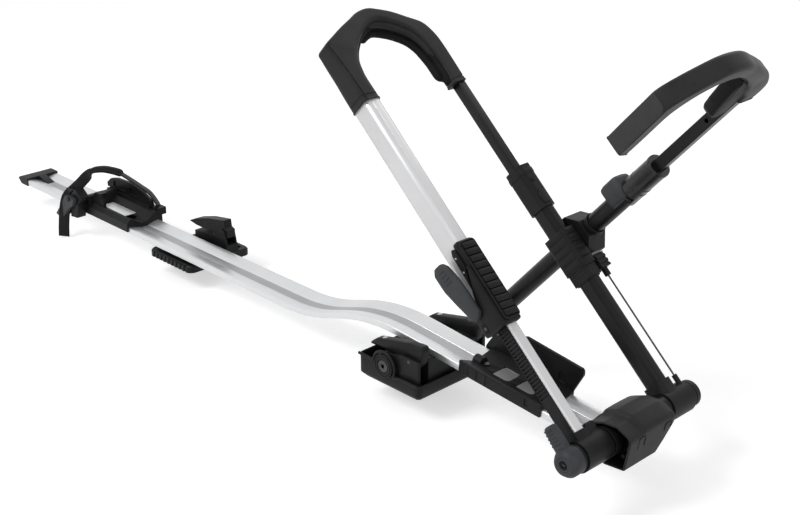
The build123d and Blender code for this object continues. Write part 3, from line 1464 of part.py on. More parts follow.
with BuildPart() as holder_wall:
    with BuildSketch(side_plane(holder_far)):
        Polygon(*scaled(wall_shares, (wall_rear, wall_foot), (wall_length, wall_rise)), align=None)
    extrude(amount=wall_thick)
    for turn in range(2):
        with BuildSketch(side_plane(holder_far - wall_thick + wall_recess)):
            with Locations((wall_rear + wall_recess_start + turn * wall_recess_pitch,
                            wall_foot + wall_recess_height * 3 / 4)):
                RectangleRounded(wall_recess_width, wall_recess_height, wall_recess_round)
        extrude(amount=wall_thick, mode=Mode.SUBTRACT)
save(holder_wall, "holder_wall")

with BuildPart() as strap_pad:
    with BuildSketch(strap_face(strap_pad_width / 2)):
        with BuildLine():
            under_line = FilletPolyline(*strap_corners, radius=strap_bend)
            Line(under_line @ 1, (0, strap_floor))
            Line((0, strap_floor), under_line @ 0)
        pad_arch = make_face(mode=Mode.PRIVATE)
        offset(pad_arch, amount=-strap_thick, kind=Kind.INTERSECTION)
        offset(pad_arch, amount=-strap_thick - strap_pad_thick, kind=Kind.INTERSECTION, mode=Mode.SUBTRACT)
        with Locations(((pad_start_share + pad_end_share) / 2 * strap_span, strap_top)):
            Rectangle((pad_end_share - pad_start_share) * strap_span, strap_top, mode=Mode.INTERSECT)
    extrude(amount=strap_pad_width)
save(strap_pad, "strap_pad")

# Buckle: a block on the near panel through which the strap runs, and its lever
buckle_rear = -960.0
buckle_length = 55.0
buckle_height = 65.0
buckle_bottom = 12.0
buckle_pin_x = -938.0
buckle_pin_z = 56.0
buckle_pin_radius = 2.5
buckle_pin_head = 2.0
buckle_shares = [
    (0.0, 0.0), (0.64, 0.06), (0.76, 0.58), (1.0, 0.77), (0.64, 0.985), (0.04, 0.925), (0.0, 0.62),
]
buckle_lever_length = 73.0
buckle_lever_height = 57.0
buckle_lever_shares = [
    (0.0, 0.12), (0.3, 0.0), (0.66, 0.5), (0.93, 0.72), (1.0, 0.95), (0.82, 1.0), (0.58, 0.99), (0.34, 0.6),
]
buckle_lever_rear = -993.0
buckle_lever_bottom = 3.5

with BuildPart() as buckle_block:
    with BuildSketch(side_plane(holder_near)):
        Polygon(*scaled(buckle_shares, (buckle_rear, buckle_bottom), (buckle_length, buckle_height)),
                align=None)
    extrude(amount=holder_near - buckle_near)
    with BuildSketch(side_plane(buckle_near)):
        with Locations((buckle_pin_x, buckle_pin_z)):
            Circle(buckle_pin_radius)
    extrude(amount=2 * lever_gap + buckle_lever_thick)
    with BuildSketch(side_plane(buckle_near - 2 * lever_gap - buckle_lever_thick)):
        with Locations((buckle_pin_x, buckle_pin_z)):
            Circle(2 * buckle_pin_radius)
    extrude(amount=buckle_pin_head)
    add(holder_strap.part, mode=Mode.SUBTRACT)
save(buckle_block, "buckle_block")

with BuildPart() as buckle_lever:
    with BuildSketch(side_plane(buckle_lever_far)):
        Polygon(*scaled(buckle_lever_shares, (buckle_lever_rear, buckle_lever_bottom),
                        (buckle_lever_length, buckle_lever_height)), align=None)
        with Locations((buckle_pin_x, buckle_pin_z)):
            Circle(buckle_pin_radius + fit_gap, mode=Mode.SUBTRACT)
    extrude(amount=buckle_lever_thick)
save(buckle_lever, "buckle_lever")

# Rear bracket: a wide plate on the rear crossbar that slides along the tray's bottom lips
plate_rear = -700.0
plate_front = -567.0
plate_near = -42.0
plate_far = 100.0
plate_height = 14.0
plate_corner = 14.0
plate_edge_bevel = 3.0
plate_slot_rear = -602.0
plate_slot_front = -580.0
plate_slot_y = 84.0
plate_slot_width = 9.0
plate_rib_count = 9
plate_rib_run = 108.0
plate_rib_pitch = plate_rib_run / plate_rib_count
plate_rib_width = 5.0
plate_rib_depth = 1.5
flange_half = 32.7
flange_thick = 2.4
neck_inside = 17.0
neck_outside = 26.9
neck_rear = -690.0
neck_front = -577.0
tower_rear = -675.0
tower_front = -572.0
tower_near = 50.0
tower_cheek = 3.0
tower_step = -612.0
tower_floor = 40.5
tower_low_floor = 28.0
tower_cheek_low = 33.0
rear_pin_x = -590.0
rear_pin_z = 50.0
rear_pin_radius = 3.0
tower_pin_round = 8.5
rear_lever_width = 18.0
rivet_rise = 0.9
tray_bottom = tray_rear_height - tray_side_height
tower_far = tower_near + 2 * tower_cheek + 2 * lever_gap + rear_lever_width

with BuildPart() as bracket_plate:
    with BuildSketch(Plane.XY):
        with Locations(((plate_rear + plate_front) / 2, (plate_near + plate_far) / 2)):
            RectangleRounded(plate_front - plate_rear, plate_far - plate_near, plate_corner)
    extrude(amount=plate_height)
    chamfer(bracket_plate.faces().sort_by(Axis.Z)[-1].edges(), plate_edge_bevel)
    with BuildSketch(Plane.XY):
        with Locations(((plate_slot_rear + plate_slot_front) / 2, plate_slot_y)):
            SlotOverall(plate_slot_front - plate_slot_rear, plate_slot_width)
    extrude(amount=plate_height + cut_over, mode=Mode.SUBTRACT)
    with BuildSketch(side_plane(plate_near + plate_rib_depth)):
        for turn in range(plate_rib_count):
            with Locations((plate_rear + plate_corner + (turn + 1 / 2) * plate_rib_pitch, 0)):
                Rectangle(plate_rib_width, 2 * plate_height)
    extrude(amount=plate_rib_depth + cut_over, mode=Mode.SUBTRACT)
    for turn in (1, -1):
        with BuildSketch(cross_plane(neck_rear)):
            lip_over = tray_bottom + tray_wall + slide_gap
            Polygon(
                (turn * neck_inside, plate_height - plate_edge_bevel),
                (turn * neck_inside, lip_over + flange_thick), (turn * flange_half, lip_over + flange_thick),
                (turn * flange_half, lip_over), (turn * neck_outside, lip_over),
                (turn * neck_outside, plate_height - plate_edge_bevel), align=None,
            )
        extrude(amount=neck_front - neck_rear)
save(bracket_plate, "bracket_plate")

with BuildPart() as bracket_tower:
    with BuildSketch(side_plane(tower_far)):
        Polygon(
            (tower_rear, plate_height), (tower_rear, tower_cheek_low), (tower_step, tower_floor),
            (rear_pin_x - tower_pin_round, rear_pin_z + tower_pin_round / 2),
            (rear_pin_x, rear_pin_z + tower_pin_round),
            (rear_pin_x + tower_pin_round, rear_pin_z + tower_pin_round / 2), (tower_front, plate_height),
            align=None,
        )
    extrude(amount=tower_far - tower_near)
    with BuildSketch(side_plane(tower_far - tower_cheek)):
        Polygon(
            (tower_rear - cut_over, rear_pin_z + 2 * tower_pin_round), (tower_rear - cut_over, tower_floor),
            (tower_step, tower_floor), (tower_step, tower_low_floor),
            (tower_front + cut_over, tower_low_floor),
            (tower_front + cut_over, rear_pin_z + 2 * tower_pin_round), align=None,
        )
    extrude(amount=tower_far - tower_near - 2 * tower_cheek, mode=Mode.SUBTRACT)
    with BuildSketch(side_plane(tower_far)):
        with Locations((rear_pin_x, rear_pin_z)):
            Circle(rear_pin_radius)
    extrude(amount=tower_far - tower_near)
    with BuildSketch(side_plane(tower_near)):
        with Locations((rear_pin_x, rear_pin_z)):
            Circle(rear_pin_radius + rivet_rise)
    extrude(amount=rivet_rise)
save(bracket_tower, "bracket_tower")

rear_lever_tip = -697.0
rear_lever_length = 122.0
rear_lever_bottom = 41.0
rear_lever_height = 34.0
rear_lever_shares = [
    (0.0, 0.13), (0.197, 0.44), (0.516, 0.765), (0.91, 1.0), (0.926, 0.59), (1.0, 0.47), (0.992, 0.03),
    (0.19, 0.03),
]

with BuildPart() as rear_clamp_lever:
    with BuildSketch(side_plane(tower_far - tower_cheek - lever_gap)):
        Polygon(*scaled(rear_lever_shares, (rear_lever_tip, rear_lever_bottom),
                        (rear_lever_length, rear_lever_height)), align=None)
        with Locations((rear_pin_x, rear_pin_z)):
            Circle(rear_pin_radius + fit_gap, mode=Mode.SUBTRACT)
    extrude(amount=rear_lever_width)
save(rear_clamp_lever, "rear_clamp_lever")
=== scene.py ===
import json
import bmesh
import bpy
import numpy as np
from math import cos, pi, radians, sin
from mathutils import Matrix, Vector


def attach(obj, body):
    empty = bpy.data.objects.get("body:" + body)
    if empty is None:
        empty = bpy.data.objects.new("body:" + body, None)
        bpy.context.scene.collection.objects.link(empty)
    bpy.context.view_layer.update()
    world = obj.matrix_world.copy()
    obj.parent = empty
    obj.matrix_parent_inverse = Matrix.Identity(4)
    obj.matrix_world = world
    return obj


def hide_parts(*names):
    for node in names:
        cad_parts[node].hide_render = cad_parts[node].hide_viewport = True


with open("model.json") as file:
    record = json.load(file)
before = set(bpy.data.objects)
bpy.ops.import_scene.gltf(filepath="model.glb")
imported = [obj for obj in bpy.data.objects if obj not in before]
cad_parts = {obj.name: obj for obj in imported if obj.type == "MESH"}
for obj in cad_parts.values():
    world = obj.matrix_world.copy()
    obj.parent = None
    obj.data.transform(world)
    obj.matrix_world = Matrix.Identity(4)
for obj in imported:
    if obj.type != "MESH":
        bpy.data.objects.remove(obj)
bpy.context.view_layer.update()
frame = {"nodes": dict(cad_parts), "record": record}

# Roof mounted bike carrier, in metres, in the carrier's own frame.
# Sizes in the tables are typed in millimetres, and mm turns them into metres.
mm = 0.001
bodies = frame["record"]["behaviour"]["bodies"]
bodyOf = {node: body for body, members in bodies.items() for node in members}

# Directions that the legs, the arm and the tray's front run follow
angles = {"leg": radians(42.6), "arm": radians(48.1), "front": radians(4.75)}
alongDir = np.array([1.0, 0.0, 0.0])
acrossDir = np.array([0.0, 1.0, 0.0])
upDir = np.array([0.0, 0.0, 1.0])
legDir = np.array([-cos(angles["leg"]), 0.0, sin(angles["leg"])])
legNormal = np.array([sin(angles["leg"]), 0.0, cos(angles["leg"])])
armDir = np.array([cos(angles["arm"]), 0.0, sin(angles["arm"])])
armNormal = np.array([sin(angles["arm"]), 0.0, -cos(angles["arm"])])
frontDir = np.array([cos(angles["front"]), 0.0, -sin(angles["front"])])
frontNormal = np.array([sin(angles["front"]), 0.0, cos(angles["front"])])
hubCentre = np.array([398.0, 0.0, 63.0]) * mm
armCross = hubCentre + legDir * 276.0 * mm

# A frame is its origin and its x, y and z directions
hoopFrame = (hubCentre, acrossDir, legDir, legNormal)
hookFrame = (armCross, acrossDir, armDir, armNormal)
sideFrame = (np.zeros(3), alongDir, upDir, -acrossDir)
upFrame = (np.zeros(3), alongDir, acrossDir, upDir)
legAcross = (hubCentre, acrossDir, legNormal, legDir)
armAcross = (armCross, acrossDir, armNormal, armDir)


def placed(points, place):
    # A point in millimetres goes to origin + x * xDir + y * yDir + z * zDir
    origin, xDir, yDir, zDir = place
    points = np.asarray(points, float) * mm
    return origin + points[..., 0:1] * xDir + points[..., 1:2] * yDir + points[..., 2:3] * zDir


# Materials: all procedural, on object coordinates

def newMaterial(name):
    material = bpy.data.materials.new(name)
    material.use_nodes = True
    return material, material.node_tree, material.node_tree.nodes["Principled BSDF"].inputs


def coordsOf(tree, turn=(0.0, 0.0, 0.0), size=(1.0, 1.0, 1.0)):
    coords = tree.nodes.new("ShaderNodeTexCoord")
    mapping = tree.nodes.new("ShaderNodeMapping")
    mapping.inputs["Rotation"].default_value = turn
    mapping.inputs["Scale"].default_value = size
    tree.links.new(coords.outputs["Object"], mapping.inputs["Vector"])
    return mapping.outputs["Vector"]


def noiseOf(tree, vector, scale, detail=3.0, rough=0.55):
    noise = tree.nodes.new("ShaderNodeTexNoise")
    noise.inputs["Scale"].default_value = scale
    noise.inputs["Detail"].default_value = detail
    noise.inputs["Roughness"].default_value = rough
    tree.links.new(vector, noise.inputs["Vector"])
    return noise.outputs["Fac"]


def rangeOf(tree, value, low, high, start=0.0, end=1.0):
    spread = tree.nodes.new("ShaderNodeMapRange")
    spread.inputs["From Min"].default_value = start
    spread.inputs["From Max"].default_value = end
    spread.inputs["To Min"].default_value = low
    spread.inputs["To Max"].default_value = high
    tree.links.new(value, spread.inputs["Value"])
    return spread.outputs["Result"]


def blendOf(tree, factor, first, second):
    mix = tree.nodes.new("ShaderNodeMix")
    mix.data_type = "RGBA"
    tree.links.new(factor, mix.inputs["Factor"])
    for socket, value in ((mix.inputs[6], first), (mix.inputs[7], second)):
        if isinstance(value, tuple):
            socket.default_value = (*value, 1.0)
        else:
            tree.links.new(value, socket)
    return mix.outputs[2]


def bumpOf(tree, height, strength, distance, under=None):
    bump = tree.nodes.new("ShaderNodeBump")
    bump.inputs["Strength"].default_value = strength
    bump.inputs["Distance"].default_value = distance
    tree.links.new(height, bump.inputs["Height"])
    if under is not None:
        tree.links.new(under, bump.inputs["Normal"])
    return bump.outputs["Normal"]


def roundedNormal(tree, width):
    bevel = tree.nodes.new("ShaderNodeBevel")
    bevel.samples = 4
    bevel.inputs["Radius"].default_value = width
    return bevel.outputs["Normal"]


def wornEdges(tree, softNormal):
    # Where the rounded normal leans away from the flat one, an edge has been rubbed
    geometry = tree.nodes.new("ShaderNodeNewGeometry")
    dot = tree.nodes.new("ShaderNodeVectorMath")
    dot.operation = "DOT_PRODUCT"
    tree.links.new(softNormal, dot.inputs[0])
    tree.links.new(geometry.outputs["Normal"], dot.inputs[1])
    return rangeOf(tree, dot.outputs["Value"], 1.0, 0.0, 0.72, 0.99)


def mottled(tree, cloud, look, start=0.3, end=0.7):
    # The look's dark turns to its light as a slow noise goes from start to end
    return blendOf(tree, rangeOf(tree, cloud, 0.0, 1.0, start, end), look["dark"], look["light"])


def roughFrom(tree, value, look, spread, start=0.3, end=0.7):
    # The look's gloss, less the first of spread up to more by the second
    return rangeOf(tree, value, look["gloss"] - spread[0], look["gloss"] + spread[1], start, end)


def feed(tree, sockets, colour, rough, normal):
    for socket, value in (("Base Color", colour), ("Roughness", rough), ("Normal", normal)):
        tree.links.new(value, sockets[socket])


def mouldedPlastic(name, look):
    material, tree, sockets = newMaterial(name)
    vector = coordsOf(tree)
    cloud = noiseOf(tree, vector, scale=26.0, detail=4.0)
    grain = noiseOf(tree, vector, scale=look["grain"], detail=2.0, rough=0.6)
    softNormal = roundedNormal(tree, look["edge"])
    rubbed = tree.nodes.new("ShaderNodeMath")
    rubbed.operation = "MULTIPLY"
    rubbed.inputs[1].default_value = look["wear"]
    tree.links.new(wornEdges(tree, softNormal), rubbed.inputs[0])
    colour = blendOf(tree, rubbed.outputs["Value"], mottled(tree, cloud, look, 0.35, 0.65), look["rub"])
    normal = bumpOf(tree, grain, strength=look["bump"], distance=0.00025, under=softNormal)
    feed(tree, sockets, colour, roughFrom(tree, cloud, look, (0.05, 0.06)), normal)
    sockets["Specular IOR Level"].default_value = look.get("specular", 0.15)
    return material


def drawnMetal(name, look):
    # Lines along the draw direction: noise squeezed along it, after the coordinates turn that way
    material, tree, sockets = newMaterial(name)
    lines = coordsOf(tree, turn=(0.0, look["turn"], 0.0), size=(2.0, 900.0, 900.0))
    plain = coordsOf(tree)
    streak = noiseOf(tree, lines, scale=1.0)
    cloud = noiseOf(tree, plain, scale=14.0)
    speck = noiseOf(tree, plain, scale=2600.0, detail=1.0)
    fine = bumpOf(tree, speck, strength=0.05, distance=0.00005, under=roundedNormal(tree, 0.0006))
    normal = bumpOf(tree, streak, strength=look["bump"], distance=0.00008, under=fine)
    rough = roughFrom(tree, streak, look, (0.06, 0.08), 0.25, 0.75)
    feed(tree, sockets, mottled(tree, cloud, look), rough, normal)
    sockets["Metallic"].default_value = look["metal"]
    return material


def coatedTube(name, look):
    # Powder coat: a broad orange peel over a fine grit
    material, tree, sockets = newMaterial(name)
    vector = coordsOf(tree)
    peel = noiseOf(tree, vector, scale=420.0, detail=2.0)
    grit = noiseOf(tree, vector, scale=2400.0, detail=2.0)
    cloud = noiseOf(tree, vector, scale=20.0)
    fine = bumpOf(tree, grit, strength=0.18, distance=0.0001, under=roundedNormal(tree, 0.0008))
    normal = bumpOf(tree, peel, strength=0.12, distance=0.0003, under=fine)
    feed(tree, sockets, mottled(tree, cloud, look), roughFrom(tree, grit, look, (0.05, 0.07)), normal)
    sockets["Specular IOR Level"].default_value = 0.18
    return material


def softRubber(name, look):
    # Rubber skin: pores from cells over a slow mottling
    material, tree, sockets = newMaterial(name)
    vector = coordsOf(tree)
    cloud = noiseOf(tree, vector, scale=40.0, detail=4.0)
    cells = tree.nodes.new("ShaderNodeTexVoronoi")
    cells.inputs["Scale"].default_value = look["cell"]
    tree.links.new(vector, cells.inputs["Vector"])
    normal = bumpOf(tree, cells.outputs["Distance"], strength=0.25, distance=0.00025)
    feed(tree, sockets, mottled(tree, cloud, look), roughFrom(tree, cloud, look, (0.05, 0.08)), normal)
    sockets["Specular IOR Level"].default_value = 0.08
    return material


def platedSteel(name, look):
    material, tree, sockets = newMaterial(name)
    cloud = noiseOf(tree, coordsOf(tree), scale=90.0, detail=4.0)
    normal = bumpOf(tree, cloud, strength=0.06, distance=0.0001, under=roundedNormal(tree, 0.0004))
    feed(tree, sockets, mottled(tree, cloud, look), roughFrom(tree, cloud, look, (0.06, 0.1)), normal)
    sockets["Metallic"].default_value = 1.0
    return material


# Each finish: its maker, the record's slot that it stands for, and its values
finishLooks = {
    "trayMetal": (drawnMetal, "tray_silver", {
        "turn": 0.0, "dark": (0.66, 0.67, 0.68), "light": (0.71, 0.72, 0.73), "metal": 0.85, "gloss": 0.34,
        "bump": 0.05}),
    "legMetal": (drawnMetal, "tube_silver", {
        "turn": -angles["leg"], "dark": (0.62, 0.62, 0.63), "light": (0.66, 0.66, 0.67), "metal": 0.60,
        "gloss": 0.38, "bump": 0.04}),
    # A dark copy of the tray metal: painted shade for the tray under the cradle's windows
    "shadedTrayMetal": (drawnMetal, "tray_silver", {
        "turn": 0.0, "dark": (0.17, 0.17, 0.175), "light": (0.22, 0.22, 0.225), "metal": 0.3, "gloss": 0.5,
        "bump": 0.04}),
    # A darker copy of the tray metal: painted shade for the groove
    "shadedGrooveMetal": (drawnMetal, "tray_silver", {
        "turn": 0.0, "dark": (0.36, 0.36, 0.37), "light": (0.42, 0.42, 0.43), "metal": 0.8, "gloss": 0.42,
        "bump": 0.05}),
    "blackTube": (coatedTube, "black_tube", {
        "dark": (0.004, 0.004, 0.0045), "light": (0.008, 0.008, 0.009), "gloss": 0.32}),
    "darkPlastic": (mouldedPlastic, "dark_plastic", {
        "dark": (0.007, 0.007, 0.0075), "light": (0.012, 0.012, 0.013), "rub": (0.040, 0.040, 0.043),
        "gloss": 0.44, "grain": 1500.0, "bump": 0.22, "edge": 0.0009, "wear": 0.35}),
    "shellPlastic": (mouldedPlastic, "charcoal_plastic", {
        "dark": (0.017, 0.017, 0.018), "light": (0.025, 0.025, 0.026), "rub": (0.055, 0.055, 0.057),
        "gloss": 0.48, "grain": 1300.0, "bump": 0.24, "edge": 0.0010, "wear": 0.25}),
    "panelPlastic": (mouldedPlastic, "charcoal_plastic", {
        "dark": (0.042, 0.042, 0.044), "light": (0.052, 0.052, 0.054), "rub": (0.08, 0.08, 0.082),
        "gloss": 0.46, "grain": 1300.0, "bump": 0.26, "edge": 0.0010, "wear": 0.25}),
    "greyPlastic": (mouldedPlastic, "grey_plastic", {
        "dark": (0.042, 0.044, 0.048), "light": (0.056, 0.058, 0.063), "rub": (0.11, 0.113, 0.12),
        "gloss": 0.46, "grain": 1400.0, "bump": 0.20, "edge": 0.0009, "wear": 0.35}),
    "glossPlastic": (mouldedPlastic, "black_gloss", {
        "dark": (0.006, 0.006, 0.007), "light": (0.010, 0.010, 0.011), "rub": (0.035, 0.035, 0.037),
        "gloss": 0.24, "grain": 900.0, "bump": 0.08, "edge": 0.0008, "wear": 0.25, "specular": 0.4}),
    "softPad": (softRubber, "soft_black", {
        "dark": (0.007, 0.007, 0.008), "light": (0.014, 0.014, 0.015), "gloss": 0.56, "cell": 900.0}),
    "strapRubber": (softRubber, "dark_plastic", {
        "dark": (0.012, 0.012, 0.013), "light": (0.022, 0.022, 0.024), "gloss": 0.42, "cell": 1600.0}),
    "boltSteel": (platedSteel, "bolt_steel", {
        "dark": (0.42, 0.42, 0.43), "light": (0.58, 0.58, 0.59), "gloss": 0.32}),
    "darkSteel": (platedSteel, "dark_steel", {
        "dark": (0.05, 0.05, 0.052), "light": (0.09, 0.09, 0.094), "gloss": 0.36}),
}
finishes = {name: maker(name, look) for name, (maker, slotName, look) in finishLooks.items()}
print("finishes made:", len(finishes))


# Mesh tools

def linked(name, data):
    thing = bpy.data.objects.new(name, data)
    bpy.context.scene.collection.objects.link(thing)
    return thing


def gridFaces(rows, columns, closedRows=False):
    # Quads between neighbouring rings; the last column joins the first
    down = np.arange(rows if closedRows else rows - 1)[:, None]
    along = np.arange(columns)[None, :]
    nextDown = (down + 1) % rows
    nextAlong = (along + 1) % columns
    quads = np.stack([down * columns + along, down * columns + nextAlong,
                      nextDown * columns + nextAlong, nextDown * columns + along], axis=-1)
    return quads.reshape(-1, 4)


def dress(piece, finish, body, smooth=38.0):
    piece.data.materials.clear()
    piece.data.materials.append(finishes[finish])
    piece.data.polygons.foreach_set("use_smooth", np.ones(len(piece.data.polygons), dtype=bool))
    piece.data.set_sharp_from_angle(angle=radians(smooth))
    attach(piece, body)


def ringsPiece(name, rings, finish, body, smooth=38.0, node=None, closedRows=False):
    # Rings of equal count joined by quads, with a flat lid at each end
    rows, columns = rings.shape[:2]
    faces = gridFaces(rows, columns, closedRows).tolist()
    if not closedRows:
        faces.append(list(range(columns - 1, -1, -1)))
        faces.append(list(range((rows - 1) * columns, rows * columns)))
    mesh = bpy.data.meshes.new(name)
    mesh.from_pydata(rings.reshape(-1, 3).tolist(), [], faces)
    mesh.update()
    work = bmesh.new()
    work.from_mesh(mesh)
    bmesh.ops.recalc_face_normals(work, faces=work.faces)
    work.to_mesh(mesh)
    work.free()
    piece = linked(name, mesh)
    dress(piece, finish, body, smooth)
    if node:
        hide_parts(node)
    return piece


def box(low, high):
    return [(low[0], low[1]), (high[0], low[1]), (high[0], high[1]), (low[0], high[1])]


def roundedLoop(corners, radius, steps=6):
    # Each corner becomes a curve tangent to its two sides; radius is one value or one per corner
    corners = np.asarray(corners, float)
    radius = np.broadcast_to(np.asarray(radius, float), (len(corners),))
    before = np.roll(corners, 1, axis=0) - corners
    after = np.roll(corners, -1, axis=0) - corners
    lengthBefore = np.linalg.norm(before, axis=1)
    lengthAfter = np.linalg.norm(after, axis=1)
    before /= lengthBefore[:, None]
    after /= lengthAfter[:, None]
    half = np.arccos(np.clip((before * after).sum(1), -1.0, 1.0)) / 2
    room = 0.48 * np.minimum(lengthBefore, lengthAfter)
    cut = np.minimum(radius / np.tan(half), room)
    share = np.linspace(0.0, 1.0, steps)[None, :, None]
    start = (corners + before * cut[:, None])[:, None, :]
    end = (corners + after * cut[:, None])[:, None, :]
    middle = corners[:, None, :]
    # A quadratic curve hugs the arc closely for these turns
    points = (1 - share) ** 2 * start + 2 * share * (1 - share) * middle + share ** 2 * end
    return points.reshape(-1, 2)


def insetLoop(loop, amount):
    # Each point moves along the mean normal of its two sides
    ahead = np.roll(loop, -1, axis=0) - np.roll(loop, 1, axis=0)
    length = np.maximum(np.linalg.norm(ahead, axis=1), 1e-9)
    normal = np.stack([-ahead[:, 1], ahead[:, 0]], axis=1) / length[:, None]
    area = 0.5 * np.sum(loop[:, 0] * np.roll(loop[:, 1], -1) - np.roll(loop[:, 0], -1) * loop[:, 1])
    return loop + normal * (amount if area > 0 else -amount)


def finely(loop, step):
    # The same closed loop with points at even, close steps
    closed = np.vstack([loop, loop[:1]])
    length = np.concatenate([[0.0], np.cumsum(np.linalg.norm(np.diff(closed, axis=0), axis=1))])
    at = np.linspace(0.0, length[-1], int(length[-1] / step), endpoint=False)
    return np.column_stack([np.interp(at, length, closed[:, axis]) for axis in (0, 1)])


def grooved(loop, groove):
    # Points near the groove's place move inwards, most at its middle
    loop = finely(loop, groove["step"])
    away = np.linalg.norm(loop - np.asarray(groove["place"]), axis=1)
    dip = groove["depth"] * np.clip(1 - away / (groove["width"] / 2), 0, 1)
    inner = insetLoop(loop, 1.0) - loop
    return loop + inner * dip[:, None]


def ringAt(loop, up):
    return np.column_stack([loop, np.broadcast_to(up, len(loop))])


def slab(name, look, place, finish, body, node=None):
    # A slab of one outline: quarter rounds carry it in by the look's edge at both ends
    loop = look.get("loop")
    if loop is None:
        loop = roundedLoop(look["outline"], look["round"], look.get("steps", 6))
    turn = np.linspace(0.0, pi / 2, look.get("ends", 4))
    insetLow = look["edge"] * (1 - np.sin(turn))
    riseLow = look["low"] + look["edge"] * (1 - np.cos(turn))
    inset = np.concatenate([insetLow, insetLow[::-1]])
    rise = np.concatenate([riseLow, (look["high"] + look["low"]) - riseLow[::-1]])
    rings = np.stack([ringAt(insetLoop(loop, amount), up) for amount, up in zip(inset, rise)])
    return ringsPiece(name, placed(rings, place), finish, body, look.get("smooth", 38.0), node)


def rim(name, look, place, finish, body):
    # A raised frame between two loops of equal count
    outer = roundedLoop(look["outer"], look["outerRound"], look["steps"])
    inner = roundedLoop(look["inner"], look["innerRound"], look["steps"])
    low, high, edge = look["low"], look["high"], look["edge"]
    rows = [(outer, low), (outer, high - edge), (insetLoop(outer, edge), high),
            (insetLoop(inner, -edge), high), (inner, high - edge), (inner, low)]
    rings = np.stack([ringAt(loop, up) for loop, up in rows])
    ringsPiece(name, placed(rings, place), finish, body, 40.0, None, True)


def lathe(name, look, place, finish, body, node=None):
    # The profile's rows are depth and radius, turned round the frame's z axis at the centre
    count = look.get("count", 48)
    turn = np.linspace(0.0, 2 * pi, count, endpoint=False)
    circle = np.column_stack([np.cos(turn), np.sin(turn)])
    centre = np.asarray(look["centre"])
    rings = np.stack([ringAt(centre + radius * circle, depth) for depth, radius in look["profile"]])
    ringsPiece(name, placed(rings, place), finish, body, 40.0, node)


def bead(name, points, radius, place, finish, body):
    # A thin round line carried along points given in a frame
    points = placed(points, place)
    walk = np.gradient(points, axis=0)
    walk /= np.linalg.norm(walk, axis=1)[:, None]
    sideways = np.cross(walk, place[3])
    sideways /= np.linalg.norm(sideways, axis=1)[:, None]
    lift = np.cross(sideways, walk)
    turn = np.linspace(0.0, 2 * pi, 10, endpoint=False)
    rings = points[:, None, :] + radius * mm * (sideways[:, None, :] * np.cos(turn)[None, :, None]
                                                + lift[:, None, :] * np.sin(turn)[None, :, None])
    ringsPiece(name, rings, finish, body, 60.0)


def smoothStations(table, at):
    # Catmull-Rom curve through the rows, read at the places in at, counted in rows
    table = np.asarray(table, float)
    padded = np.vstack([2 * table[0] - table[1], table, 2 * table[-1] - table[-2]])
    base = np.minimum(at.astype(int), len(table) - 2)
    part = (at - base)[:, None]
    p0, p1, p2, p3 = (padded[base + step] for step in range(4))
    return 0.5 * (2 * p1 + (p2 - p0) * part + (2 * p0 - 5 * p1 + 4 * p2 - p3) * part ** 2
                  + (3 * p1 - 3 * p2 + p3 - p0) * part ** 3)


def stationLoft(name, look, place, finish, body, node):
    # A four-sided section with round corners, carried along an outer and an inner wall.
    # Rows: outer x y, inner x y, front and back depth, four corner radii, depth of the seam
    last = len(look["stations"]) - 1
    besideCollar = (-0.07, -0.04, -0.02, 0.0, 0.02, 0.04, 0.07)
    fine = [spot + step for spot in look["collars"] for step in besideCollar]
    ends = [0.015, 0.05, 0.09, last - 0.09, last - 0.05, last - 0.015]
    at = np.unique(np.concatenate([np.linspace(0, last, last * 6 + 1), fine, ends]))
    table = smoothStations(look["stations"], at)
    outer, inner, front, back = table[:, 0:2], table[:, 2:4], table[:, 4], table[:, 5]
    seamDepth = np.clip(table[:, 10], 0, None)[:, None]
    width = np.linalg.norm(outer - inner, axis=1)
    across = (outer - inner) / width[:, None]
    quarter = np.linspace(0.0, pi / 2, 9)
    runs, rises = [], []
    corners = ((0, 1, pi), (1, 1, pi / 2), (1, 0, 0.0), (0, 0, -pi / 2))
    for index, (isOuter, isFront, start) in enumerate(corners):
        radius = np.clip(table[:, 6 + index], 0.4, 0.48 * np.minimum(width, front + back))
        centreRun = width - radius if isOuter else radius
        centreRise = front - radius if isFront else radius - back
        if index == 1:  # the seam runs beside the outer front corner
            runs.append(centreRun[:, None] - np.array([2.9, 2.1, 1.1, 0.2]))
            rises.append(front[:, None] - seamDepth * np.array([0.0, 1.0, 1.0, 0.0]))
        runs.append(centreRun[:, None] + radius[:, None] * np.cos(start - quarter))
        rises.append(centreRise[:, None] + radius[:, None] * np.sin(start - quarter))
    run, rise = np.concatenate(runs, axis=1), np.concatenate(rises, axis=1)
    # Both ends stand out a little behind a small rounding, and each collar is a shallow groove
    inset = np.interp(np.minimum(at, last - at), [0.0, 0.015, 0.05, 0.09], [0.4, -0.8, -0.8, 0.0])
    for spot in look["collars"]:
        inset += np.interp(at, [spot - 0.04, spot, spot + 0.04], [0.0, 1.3, 0.0])
    awayRun, awayRise = run - width[:, None] / 2, rise - ((front - back) / 2)[:, None]
    reach = np.hypot(awayRun, awayRise)
    run -= inset[:, None] * awayRun / reach
    rise -= inset[:, None] * awayRise / reach
    flat = inner[:, None, :] + across[:, None, :] * run[..., None]
    ringsPiece(name, placed(np.dstack([flat, rise]), place), finish, body, 50.0, node)


